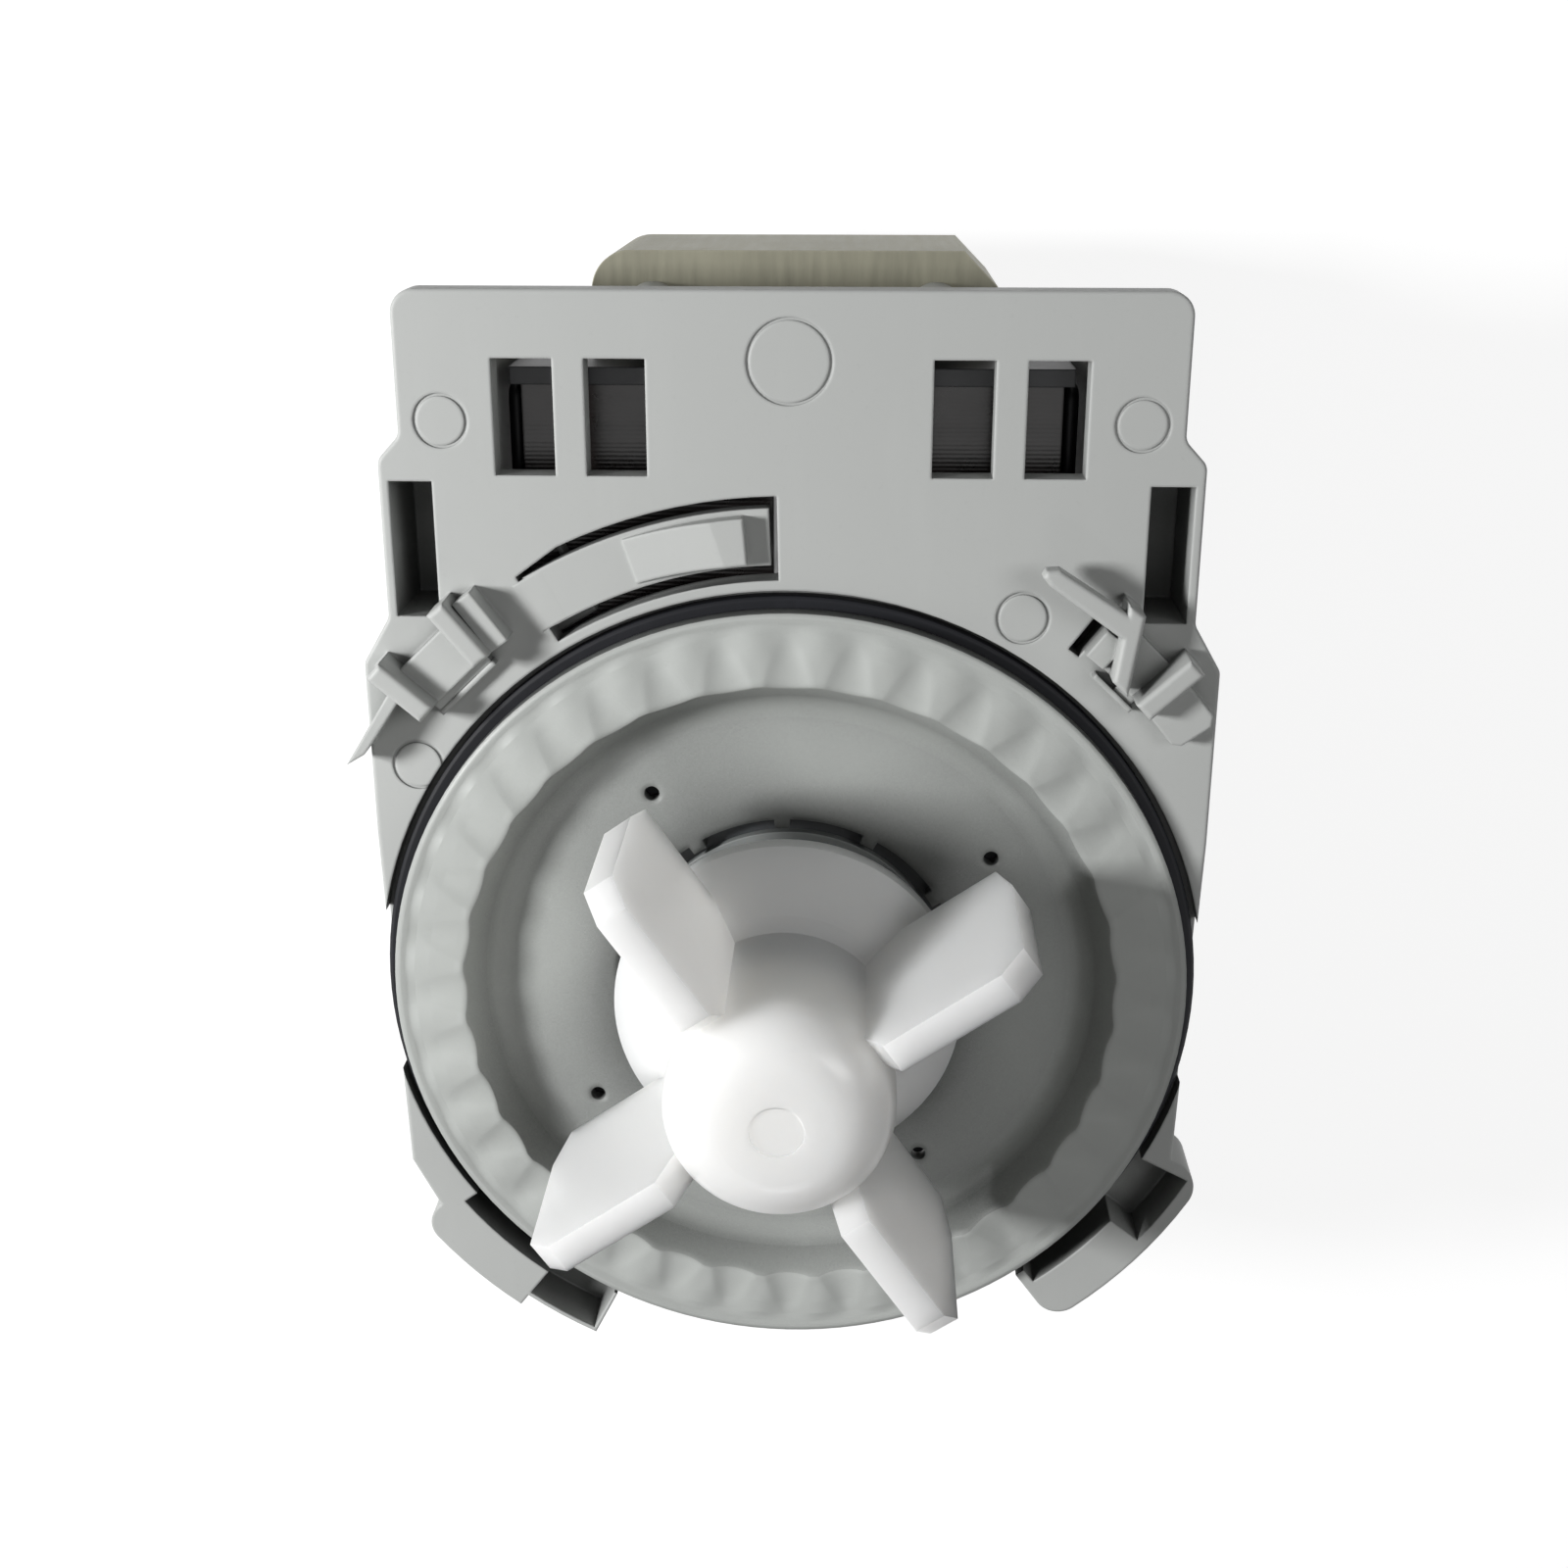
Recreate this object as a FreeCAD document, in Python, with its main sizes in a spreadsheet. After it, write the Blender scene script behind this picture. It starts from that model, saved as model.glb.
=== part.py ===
import FreeCAD, Part
import math
import os
import re
import Sketcher

# Dishwasher drain pump with a permanent magnet rotor, in millimetres.
# The origin is on the rotor's axis in the plane of the mounting plate's front face.
# +Z runs out through the impeller, +Y points to the yoke of the stator.

SIZES = {
    # mounting plate
    "plate_thick": 3.0,
    "plate_top": 67.6,
    "head_half": 35.45,
    "head_radius": 2.2,
    "shoulder_high": 54.6,
    "shoulder_low": 52.4,
    "waist_half": 37.5,
    "waist_low": 37.6,
    "bulge_half": 40.1,
    "bulge_high": 33.2,
    "bulge_low": 16.0,
    "hip_half": 39.1,
    "hip_low": -20.5,
    "foot_half": 36.2,
    "foot_low": -26.3,
    "foot_radius": 38.4,
    "edge_radius": 1.4,
    "edge_round": 0.3,
    # recess and hole that take the chamber flange
    "recess_radius": 40.6,
    "recess_deep": 1.8,
    "throat_radius": 33.0,
    # hook windows in the head of the plate
    "window_low": 51.1,
    "window_high": 61.6,
    "window_in_start": 12.86,
    "window_in_end": 18.35,
    "window_out_start": 21.19,
    "window_out_end": 26.69,
    "side_window_in": 32.6,
    "side_window_out": 36.6,
    "side_window_low": 37.8,
    "side_window_high": 50.5,
    "catch_wall": 1.2,
    "catch_deep": 11.0,
    # ejector marks on the front face
    "mark_deep": 0.15,
    "mark_line": 0.3,
    "mark_big": 3.9,
    "mark_small": 2.5,
    "mark_big_high": 61.4,
    "mark_side": 31.5,
    "mark_side_high": 56.0,
    "mark_mid": 21.6,
    "mark_mid_high": 38.2,
    "mark_low": -35.6,
    "mark_low_high": 23.1,
    # bayonet lugs at the foot
    "lug_in": 38.0,
    "lug_out": 47.4,
    "lug_wall": 1.4,
    "lug_deep": 6.4,
    "lug_floor": 1.2,
    "lug_round": 2.6,
    "lug_groove": 42.3,
    "lug_right_start": -54.0,
    "lug_right_face": -38.0,
    "lug_right_end": -25.6,
    "lug_ear": 3.2,
    "lug_left_start": -144.6,
    "lug_left_face": -127.0,
    "lug_left_end": -116.6,
    "lug_left_out": 46.0,
    "lug_left_wall": 0.4,
    # guide combs each side of the ring
    "comb_in": 44.6,
    "comb_out": 51.0,
    "comb_pad_out": 49.2,
    "comb_rib": 2.0,
    "comb_rib_high": 4.2,
    "comb_round": 0.45,
    "comb_pad_high": 1.8,
    "comb_lip_in": 43.3,
    "comb_lip": 0.5,
    "comb_lip_high": 1.2,
    "left_rib": 129.2,
    "left_finger": 126.7,
    "left_finger_out": 50.2,
    "left_finger_high": 2.8,
    "left_foot": 138.8,
    "left_beak_tip": 149.8,
    "left_beak_out": 48.7,
    "left_beak": 1.2,
    "left_beak_high": 3.5,
    "right_foot": 43.0,
    "right_pad": 41.3,
    "right_pad_end": 35.9,
    "right_pad_bevel": 0.7,
    "right_rib": 49.4,
    "right_lean": 2.4,
    "right_block": 52.1,
    "right_block_out": 47.6,
    "right_hole_in": 43.8,
    "right_hole_end": 53.7,
    "right_hook": 62.0,
    "right_hook_tip": 60.8,
    "right_hook_out": 49.2,
    "right_hook_wide": 1.1,
    "right_hook_low": 2.4,
    # lock tongue and its window
    "tongue_slot_in": 41.55,
    "tongue_slot_out": 49.4,
    "tongue_tip_out": 48.65,
    "tongue_tip_start": 114.5,
    "tongue_in": 43.0,
    "tongue_out": 48.3,
    "tongue_end": 92.2,
    "tongue_slot_end": 91.3,
    "tongue_hinge": 120.0,
    "tongue_thick": 1.8,
    "tongue_root_gap": 0.1,
    "wedge_start": 95.0,
    "wedge_end": 108.8,
    "wedge_high": 1.7,
    "wedge_ramp_high": 1.5,
    "wedge_ramp_long": 8.4,
    "wedge_inset": 0.5,
    # chamber flange with the fluted ring
    "flange_radius": 38.93,
    "flange_rim": 1.9,
    "rim_wide": 0.5,
    "band_out_high": 1.7,
    "band_in_radius": 32.1,
    "band_in_high": 2.43,
    "skirt_under": 0.1,
    "flange_foot": 35.0,
    "floor_edge": 29.4,
    "floor_round": 3.0,
    "floor_deep": 2.04,
    "floor_thick": 1.6,
    "throat_gap": 0.2,
    "flute_radius": 6.2,
    "flute_fade": 0.1,
    "flute_tilt": 1.6,
    "drain_radius": 0.75,
    "drain_circle": 23.83,
    "drain_start": 34.2,
    "eye_radius": 17.2,
    "eye_tab": 0.9,
    "eye_tab_span": 5.0,
    "eye_tab_first": 2.5,
    "post_radius": 3.2,
    "post_side": 19.5,
    "post_high": 15.5,
    "pilot_radius": 1.25,
    # gasket
    "gasket_out": 40.0,
    "gasket_gap": 0.3,
    # rotor can
    "can_radius": 14.6,
    "can_wall": 1.2,
    "can_collar": 20.0,
    "can_collar_thick": 1.8,
    "can_straight": 36.0,
    "can_end": 48.0,
    "can_end_radius": 8.6,
    "can_pocket": 38.5,
    "can_pocket_end": 46.4,
    "seat_gap": 0.1,
    # bearings
    "shaft_radius": 2.0,
    "shaft_play": 0.04,
    "bush_radius": 4.2,
    "bush_long": 6.0,
    "rubber_radius": 6.2,
    "holder_radius": 15.6,
    "holder_thick": 1.5,
    "holder_plug": 4.2,
    "ring_seal": 0.7,
    # rotor
    "magnet_radius": 12.6,
    "magnet_bore": 5.0,
    "magnet_front": 10.4,
    "magnet_long": 24.0,
    "sleeve_rim": 8.5,
    "sleeve_rim_thick": 0.8,
    "washer_radius": 3.8,
    "washer_thick": 0.6,
    "fit_gap": 0.02,
    # drive dog
    "dog_low": -2.6,
    "dog_hub": 4.4,
    "dog_high": 12.4,
    "dog_reach": 8.0,
    "dog_wing_low": 4.8,
    "dog_span": 60.0,
    # impeller
    "impeller_turn": 35.0,
    "disc_radius": 16.9,
    "disc_low": 2.4,
    "disc_high": 4.2,
    "cone_radius": 11.6,
    "cone_high": 8.4,
    "hub_radius": 10.4,
    "hub_low": 2.4,
    "hub_shoulder": 22.6,
    "hub_round": 5.2,
    "gate_radius": 2.4,
    "gate_deep": 0.25,
    "hub_high": 28.2,
    "cavity_radius": 8.4,
    "cavity_high": 13.4,
    "shaft_top": 19.0,
    "shaft_bore": 2.1,
    "blade_reach": 26.3,
    "blade_low": 6.3,
    "blade_high": 27.3,
    "blade_thick": 3.0,
    "blade_chamfer": 2.4,
    "blade_toe": 1.4,
    "blade_toe_high": 5.0,
    "stop_span": 60.0,
    "stop_centre": 180.0,
    "buffer_thick": 0.8,
    "cover_thick": 1.0,
    # laminated core
    "core_front": 12.0,
    "core_stack": 20.0,
    "pole_half": 24.0,
    "pole_high": 20.0,
    "pole_corner": 4.0,
    "core_bore": 15.0,
    "air_slot": 2.4,
    "air_bridge": 1.0,
    "leg_in": 7.5,
    "leg_out": 19.0,
    "yoke_low": 60.5,
    "yoke_high": 70.0,
    "yoke_corner": 3.7,
    "yoke_cut": 3.2,
    "rivet_radius": 1.5,
    "rivet_head": 2.4,
    "rivet_head_high": 0.9,
    "rivet_side": 20.4,
    "rivet_up": 4.5,
    "screw_hole": 1.75,
    "screw_head": 3.0,
    "screw_head_high": 2.0,
    "screw_bite": 5.0,
    "boss_radius": 2.6,
    "boss_high": 64.6,
    # coils
    "coil_gap": 0.2,
    "bobbin_wall": 1.2,
    "bobbin_flange": 1.6,
    "bobbin_half": 12.55,
    "bobbin_build": 7.8,
    "wrap_inset": 0.9,
    "wrap_thick": 0.5,
    # terminals
    "block_half": 13.0,
    "block_low": 48.4,
    "block_high": 60.0,
    "block_base": 1.6,
    "block_wall": 1.4,
    "tab_wide": 6.3,
    "tab_thick": 0.8,
    "tab_long": 6.4,
    "tab_side": 7.4,
    # stiffening ribs behind the plate
    "rib_side": 27.0,
    "rib_thick": 1.4,
    "rib_deep": 20.0,
    "rib_low": 46.0,
    "rib_high": 63.0,
}
FLUTES = 36
EYE_TABS = 12
DRAINS = 4
BLADES = 4
# which side of the wedge's edge the long leg of its ramp lies on
RAMP_FLIPPED = False

doc = FreeCAD.newDocument("drain_pump")
sheet = doc.addObject("Spreadsheet::Sheet", "Sizes")
for row, (alias, number) in enumerate(SIZES.items(), start=1):
    sheet.set("A%d" % row, alias)
    sheet.set("B%d" % row, str(number))
    sheet.setAlias("B%d" % row, alias)
doc.recompute()


def linked(text):
    """Write the sheet's name before each size in an expression."""
    def named(word):
        return "Sizes." + word.group() if word.group() in SIZES else word.group()

    return re.sub(r"[a-z_]+", named, text)


def value(text):
    """Work an expression out as a plain number."""
    return float(sheet.evalExpression(linked(text)))


def polar(radius, angle):
    """Give the two coordinates of a point at a radius and an angle in degrees."""
    return "(%s) * cos(%s)" % (radius, angle), "(%s) * sin(%s)" % (radius, angle)


def new_body(label):
    body = doc.addObject("PartDesign::Body", label)
    body.Label = label
    return body


def origin_feature(body, role):
    """Find a plane or an axis of the body's own origin."""
    return [feature for feature in body.Origin.OriginFeatures if feature.Role == role][0]


def new_sketch(body, name, role="XY_Plane", lift="0"):
    """Lay a sketch on an origin plane, lifted along the plane's normal."""
    sketch = body.newObject("Sketcher::SketchObject", name)
    sketch.AttachmentSupport = [(origin_feature(body, role), "")]
    sketch.MapMode = "FlatFace"
    sketch.setExpression("AttachmentOffset.Base.z", linked(lift))
    return sketch


def bind(sketch, constraint, text):
    index = sketch.addConstraint(constraint)
    sketch.setExpression("Constraints[%d]" % index, linked(text))


def polygon(sketch, corners):
    """Draw a closed outline whose corners are bound to the sheet."""
    points = [FreeCAD.Vector(value(x), value(y), 0) for x, y in corners]
    first = sketch.GeometryCount
    count = len(points)
    for place, point in enumerate(points):
        sketch.addGeometry(Part.LineSegment(point, points[(place + 1) % count]), False)
    for place in range(count):
        following = first + (place + 1) % count
        sketch.addConstraint(Sketcher.Constraint("Coincident", first + place, 2, following, 1))
    for place, (x, y) in enumerate(corners):
        bind(sketch, Sketcher.Constraint("DistanceX", -1, 1, first + place, 1, points[place].x), x)
        bind(sketch, Sketcher.Constraint("DistanceY", -1, 1, first + place, 1, points[place].y), y)


def rectangle(sketch, left, low, right, high):
    polygon(sketch, [(left, low), (right, low), (right, high), (left, high)])


def circle(sketch, x, y, radius):
    centre = FreeCAD.Vector(value(x), value(y), 0)
    shape = Part.Circle(centre, FreeCAD.Vector(0, 0, 1), value(radius))
    index = sketch.addGeometry(shape, False)
    bind(sketch, Sketcher.Constraint("DistanceX", -1, 1, index, 3, centre.x), x)
    bind(sketch, Sketcher.Constraint("DistanceY", -1, 1, index, 3, centre.y), y)
    bind(sketch, Sketcher.Constraint("Radius", index, shape.Radius), radius)


def sector(sketch, inner, outer, start, end):
    """Draw a piece of a ring about the axis, between two angles in degrees."""
    low = math.radians(value(start))
    high = math.radians(value(end))
    up = FreeCAD.Vector(0, 0, 1)
    arcs = []
    for radius in (inner, outer):
        ring = Part.Circle(FreeCAD.Vector(0, 0, 0), up, value(radius))
        arcs.append(sketch.addGeometry(Part.ArcOfCircle(ring, low, high), False))
    sides = []
    for angle in (low, high):
        ray = FreeCAD.Vector(math.cos(angle), math.sin(angle), 0)
        line = Part.LineSegment(ray * value(inner), ray * value(outer))
        sides.append(sketch.addGeometry(line, False))
    for arc in arcs:
        sketch.addConstraint(Sketcher.Constraint("Coincident", arc, 3, -1, 1))
    for end_point, side in enumerate(sides, start=1):
        sketch.addConstraint(Sketcher.Constraint("Coincident", side, 1, arcs[0], end_point))
        sketch.addConstraint(Sketcher.Constraint("Coincident", side, 2, arcs[1], end_point))
    bind(sketch, Sketcher.Constraint("Radius", arcs[0], value(inner)), inner)
    bind(sketch, Sketcher.Constraint("Radius", arcs[1], value(outer)), outer)
    for radius, end_point in ((inner, 1), (outer, 2)):
        for side, angle in zip(sides, (start, end)):
            x, y = polar(radius, angle)
            if abs(value(x)) > abs(value(y)):
                bind(sketch, Sketcher.Constraint("DistanceY", -1, 1, side, end_point, value(y)), y)
            else:
                bind(sketch, Sketcher.Constraint("DistanceX", -1, 1, side, end_point, value(x)), x)


def pad(body, sketch, length, down=False, middle=False):
    feature = body.newObject("PartDesign::Pad", sketch.Name + "_pad")
    feature.Profile = sketch
    feature.setExpression("Length", linked(length))
    feature.Reversed = down
    feature.Midplane = middle
    body.Tip = feature
    doc.recompute()
    return feature


def pocket(body, sketch, length, up=False, middle=False):
    before = body.Shape.Volume
    feature = body.newObject("PartDesign::Pocket", sketch.Name + "_pocket")
    feature.Profile = sketch
    feature.setExpression("Length", linked(length))
    feature.Reversed = up
    feature.Midplane = middle
    body.Tip = feature
    doc.recompute()
    if body.Shape.Volume > before - 1e-6:
        print("cuts nothing:", sketch.Name)
    return feature


def revolution(body, name, profile):
    """Turn a profile of radius and height about the rotor's axis."""
    sketch = new_sketch(body, name, "XZ_Plane")
    polygon(sketch, profile)
    feature = body.newObject("PartDesign::Revolution", name + "_turned")
    feature.Profile = sketch
    feature.ReferenceAxis = (sketch, ["V_Axis"])
    feature.Angle = 360
    body.Tip = feature
    doc.recompute()
    return feature


def polar_pattern(body, name, feature, count):
    pattern = body.newObject("PartDesign::PolarPattern", name)
    pattern.Originals = [feature]
    pattern.Axis = (origin_feature(body, "Z_Axis"), [""])
    pattern.Angle = 360
    pattern.Occurrences = count
    body.Tip = pattern
    doc.recompute()
    return pattern


def mirrored(body, name, features):
    """Repeat features on the other side of the plane X = 0."""
    mirror = body.newObject("PartDesign::Mirrored", name)
    mirror.Originals = features
    mirror.MirrorPlane = (origin_feature(body, "YZ_Plane"), [""])
    body.Tip = mirror
    doc.recompute()
    return mirror


def upright_edges(feature, corners):
    """Name the edges that stand along Z at the given corners."""
    names = []
    spots = [(value(x), value(y)) for x, y in corners]
    for index, edge in enumerate(feature.Shape.Edges, start=1):
        ends = [vertex.Point for vertex in edge.Vertexes]
        if len(ends) < 2 or math.hypot(ends[0].x - ends[1].x, ends[0].y - ends[1].y) > 1e-4:
            continue
        if any(math.hypot(ends[0].x - x, ends[0].y - y) < 1e-3 for x, y in spots):
            names.append("Edge%d" % index)
    return names


def ring_edges(feature, rings):
    """Name the circular edges about the axis at the given radii and heights."""
    names = []
    spots = [(value(radius), value(height)) for radius, height in rings]
    for index, edge in enumerate(feature.Shape.Edges, start=1):
        if not isinstance(edge.Curve, Part.Circle):
            continue
        centre = edge.Curve.Center
        if math.hypot(centre.x, centre.y) > 1e-3:
            continue
        for radius, height in spots:
            if abs(edge.Curve.Radius - radius) < 1e-3 and abs(centre.z - height) < 1e-3:
                names.append("Edge%d" % index)
    return names


def level_edges(feature, height, inside=None):
    """Name every edge that lies wholly at one height."""
    names = []
    level = value(height)
    for index, edge in enumerate(feature.Shape.Edges, start=1):
        box = edge.BoundBox
        if abs(box.ZMin - level) < 1e-4 and abs(box.ZMax - level) < 1e-4:
            if inside is None or inside(box):
                names.append("Edge%d" % index)
    return names


def middle_of(feature, name):
    """The middle of the box round an edge."""
    return feature.Shape.getElement(name).BoundBox.Center


def dress(body, kind, name, feature, edges, size):
    """Fillet or chamfer the named edges of a feature."""
    result = body.newObject("PartDesign::" + kind, name)
    result.Base = (feature, edges)
    result.setExpression("Radius" if kind == "Fillet" else "Size", linked(size))
    body.Tip = result
    doc.recompute()
    return result


def cylinder(name, radius, height, x, y, z):
    """Make a round bar that stands along Z."""
    bar = doc.addObject("Part::Cylinder", name)
    bar.setExpression("Radius", linked(radius))
    bar.setExpression("Height", linked(height))
    for letter, text in zip("xyz", (x, y, z)):
        bar.setExpression("Placement.Base." + letter, linked(text))
    return bar


def box(name, low, high):
    """Make a block between two corners that are given as expressions."""
    block = doc.addObject("Part::Box", name)
    for side, start, end in zip(("Length", "Width", "Height"), low, high):
        block.setExpression(side, linked("(%s) - (%s)" % (end, start)))
    for letter, text in zip("xyz", low):
        block.setExpression("Placement.Base." + letter, linked(text))
    return block


def fuse(label, shapes):
    union = doc.addObject("Part::MultiFuse", label)
    union.Label = label
    union.Shapes = shapes
    return union


def cut(label, base, tool):
    result = doc.addObject("Part::Cut", label)
    result.Label = label
    result.Base = base
    result.Tool = tool
    return result


def group(label, members):
    """Hold separate solids of one kind in one sub-part."""
    bunch = doc.addObject("Part::Compound", label)
    bunch.Label = label
    bunch.Links = members
    return bunch


# heights that several pieces share
FLOOR_BACK = "-floor_deep - floor_thick"
CAN_FRONT = "-floor_deep - floor_thick - throat_gap"
CORE_BACK = "-core_front - core_stack"
COIL_FRONT = "-core_front + bobbin_build"
COIL_BACK = "-core_front - core_stack - bobbin_build"


def make_mounting_plate():
    body = new_body("mounting_plate")
    half = [
        ("head_half", "plate_top"),
        ("head_half", "shoulder_high"),
        ("waist_half", "shoulder_low"),
        ("waist_half", "waist_low"),
        ("bulge_half", "bulge_high"),
        ("bulge_half", "bulge_low"),
        ("hip_half", "hip_low"),
        ("foot_half", "foot_low"),
    ]
    outline = new_sketch(body, "plate_outline")
    polygon(outline, half + [("-" + x, y) for x, y in reversed(half)])
    plate = pad(body, outline, "plate_thick", down=True)
    heads = [("head_half", "plate_top"), ("-head_half", "plate_top")]
    plate = dress(body, "Fillet", "plate_head", plate, upright_edges(plate, heads), "head_radius")
    steps = [(sign + x, y) for x, y in half[1:6] for sign in ("", "-")]
    plate = dress(body, "Fillet", "plate_steps", plate, upright_edges(plate, steps), "edge_radius")
    rim = level_edges(plate, "0")
    dress(body, "Fillet", "plate_rim", plate, rim, "edge_round")

    hole = new_sketch(body, "comb_hole")
    sector(hole, "right_hole_in", "right_block_out", "right_block", "right_hole_end")
    pocket(body, hole, "plate_thick")

    foot = new_sketch(body, "plate_foot")
    circle(foot, "0", "0", "foot_radius")
    pad(body, foot, "plate_thick", down=True)
    lugs = [
        ("right", "lug_out", "lug_wall", "lug_out - lug_wall"),
        ("left", "lug_left_out", "lug_left_wall", "lug_left_out - lug_left_wall"),
    ]
    for name, out, wall, pocket_out in lugs:
        start = "lug_%s_start" % name
        face = "lug_%s_face" % name
        end = "lug_%s_end" % name
        block = new_sketch(body, "lug_face_" + name)
        sector(block, "lug_in", "lug_out", start, face)
        lug = pad(body, block, "lug_deep", down=True)
        corner = [polar("lug_out", start)]
        dress(body, "Fillet", "lug_round_" + name, lug, upright_edges(lug, corner), "lug_round")
        tail = new_sketch(body, "lug_tail_" + name)
        sector(tail, "lug_in", out, face, end)
        lug = pad(body, tail, "lug_deep", down=True)
        if name == "right":
            corner = [polar(out, end)]
            dress(body, "Fillet", "lug_ear", lug, upright_edges(lug, corner), "lug_ear")
        groove = new_sketch(body, "lug_groove_" + name)
        sector(groove, "recess_radius", "lug_groove", start + " + lug_wall", face)
        pocket(body, groove, "lug_deep - lug_floor")
        slot = new_sketch(body, "lug_slot_" + name)
        sector(slot, "recess_radius", pocket_out, face, end + " - %s / lug_out * 57.3" % wall)
        pocket(body, slot, "lug_deep - lug_floor")

    recess = new_sketch(body, "ring_recess")
    circle(recess, "0", "0", "recess_radius")
    pocket(body, recess, "recess_deep")
    throat = new_sketch(body, "throat")
    circle(throat, "0", "0", "throat_radius")
    pocket(body, throat, "plate_thick")

    windows = new_sketch(body, "hook_windows")
    rectangle(windows, "window_in_start", "window_low", "window_in_end", "window_high")
    rectangle(windows, "window_out_start", "window_low", "window_out_end", "window_high")
    right = pocket(body, windows, "plate_thick")
    mirrored(body, "hook_windows_left", [right])
    case = new_sketch(body, "catch_case", lift="-plate_thick")
    low = "side_window_low - catch_wall"
    high = "side_window_high + catch_wall"
    rectangle(case, "side_window_in - catch_wall", low, "side_window_out + catch_wall / 2", high)
    outside = pad(body, case, "catch_deep - plate_thick", down=True)
    catch = new_sketch(body, "catch_pocket")
    rectangle(catch, "side_window_in", "side_window_low", "side_window_out", "side_window_high")
    inside = pocket(body, catch, "catch_deep - catch_wall")
    rib_sketch = new_sketch(body, "side_rib", lift="-plate_thick")
    rectangle(rib_sketch, "rib_side", "rib_low", "rib_side + rib_thick", "rib_high")
    shade = pad(body, rib_sketch, "rib_deep", down=True)
    mirrored(body, "catch_left", [outside, inside, shade])
    tongue_window = new_sketch(body, "tongue_window")
    root = "tongue_hinge + (tongue_thick / 2 + tongue_root_gap) / tongue_in * 57.3"
    sector(tongue_window, "tongue_slot_in", "tongue_slot_out", "tongue_slot_end", root)
    pocket(body, tongue_window, "plate_thick")
    tip = new_sketch(body, "tongue_slot_tip")
    beyond = root + " + 1"
    taper = [
        polar("tongue_slot_out + 0.2", "tongue_tip_start"),
        polar("tongue_tip_out", beyond),
        polar("tongue_slot_out + 1", beyond),
        polar("tongue_slot_out + 1", "tongue_tip_start"),
    ]
    polygon(tip, taper)
    pad(body, tip, "plate_thick", down=True)

    marks = [
        ("0", "mark_big_high", "mark_big"),
        ("mark_side", "mark_side_high", "mark_small"),
        ("-mark_side", "mark_side_high", "mark_small"),
        ("mark_mid", "mark_mid_high", "mark_small"),
        ("mark_low", "mark_low_high", "mark_small"),
    ]
    rings = new_sketch(body, "ejector_marks")
    for x, y, radius in marks:
        circle(rings, x, y, radius)
        circle(rings, x, y, radius + " - mark_line")
    pocket(body, rings, "mark_deep")

    def raised(name, corners, high, low="0"):
        drawn = new_sketch(body, name, lift=low)
        polygon(drawn, [polar(radius, angle) for radius, angle in corners])
        return pad(body, drawn, high)

    def rib(name, centre, reach, high, lean="0"):
        near = "comb_rib / comb_in * 28.65"
        far = "comb_rib / (%s) * 28.65" % reach
        corners = [
            ("comb_in", "%s - %s - %s" % (centre, lean, near)),
            (reach, "%s + %s - %s" % (centre, lean, far)),
            (reach, "%s + %s + %s" % (centre, lean, far)),
            ("comb_in", "%s - %s + %s" % (centre, lean, near)),
        ]
        return raised(name, corners, high)

    def block(name, inner, outer, start, end, high):
        return raised(name, [(inner, start), (outer, start), (outer, end), (inner, end)], high)

    block("left_comb_pad", "comb_in", "comb_pad_out", "left_rib", "left_foot", "comb_pad_high")
    rib("left_comb_finger", "left_finger", "left_finger_out", "left_finger_high")
    rib("left_comb_rib", "left_rib", "comb_out", "comb_rib_high")
    rib("left_comb_foot", "left_foot", "comb_out", "comb_rib_high")
    beak = [
        ("left_beak_out - left_beak", "left_foot"),
        ("left_beak_out", "left_foot"),
        ("left_beak_out - left_beak / 2", "left_beak_tip"),
        ("left_beak_out - left_beak * 1.3", "left_beak_tip * 0.8 + left_foot * 0.2"),
    ]
    raised("left_comb_beak", beak, "left_beak_high")
    block("left_comb_lip", "comb_lip_in", "comb_lip_in + comb_lip", "left_rib", "left_foot", "comb_lip_high")
    bevel_end = "right_pad_end + right_pad_bevel / comb_in * 57.3"
    end_pad = [
        ("comb_in", "right_pad"),
        ("comb_pad_out", "right_pad"),
        ("comb_pad_out", bevel_end),
        ("comb_pad_out - right_pad_bevel", "right_pad_end"),
        ("comb_in + right_pad_bevel", "right_pad_end"),
        ("comb_in", bevel_end),
    ]
    raised("right_comb_end", end_pad, "comb_pad_high")
    block("right_comb_pad", "comb_in", "comb_pad_out", "right_pad", "right_rib", "comb_pad_high / 2")
    rib("right_comb_foot", "right_foot", "comb_out", "comb_rib_high")
    rib("right_comb_rib", "right_rib", "comb_out", "comb_rib_high", "right_lean")
    block("right_comb_block", "comb_in", "right_block_out", "right_rib", "right_block", "comb_pad_high")
    lip_out = "comb_lip_in + comb_lip"
    block("right_comb_lip", "comb_lip_in", lip_out, "right_foot", "right_rib", "comb_lip_high")
    hook = [
        ("right_hook_out - right_hook_wide", "right_rib + right_lean / 2"),
        ("right_hook_out + right_hook_wide", "right_rib + right_lean / 2"),
        ("right_hook_out + right_hook_wide * 0.8", "right_hook_tip"),
        ("right_hook_out + right_hook_wide * 0.2", "right_hook"),
        ("right_hook_out - right_hook_wide * 0.4", "right_hook"),
        ("right_hook_out - right_hook_wide * 0.8", "right_hook_tip"),
    ]
    top = raised("right_comb_hook", hook, "comb_rib_high - right_hook_low", low="right_hook_low")
    dress(body, "Fillet", "comb_round", top, level_edges(top, "comb_rib_high"), "comb_round")

    bosses = new_sketch(body, "yoke_boss", lift="-plate_thick")
    middle = "leg_in / 2 + leg_out / 2"
    circle(bosses, middle, "boss_high", "boss_radius")
    circle(bosses, middle, "boss_high", "pilot_radius")
    right = pad(body, bosses, "core_front - plate_thick", down=True)
    mirrored(body, "yoke_boss_left", [right])
    return body


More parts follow.
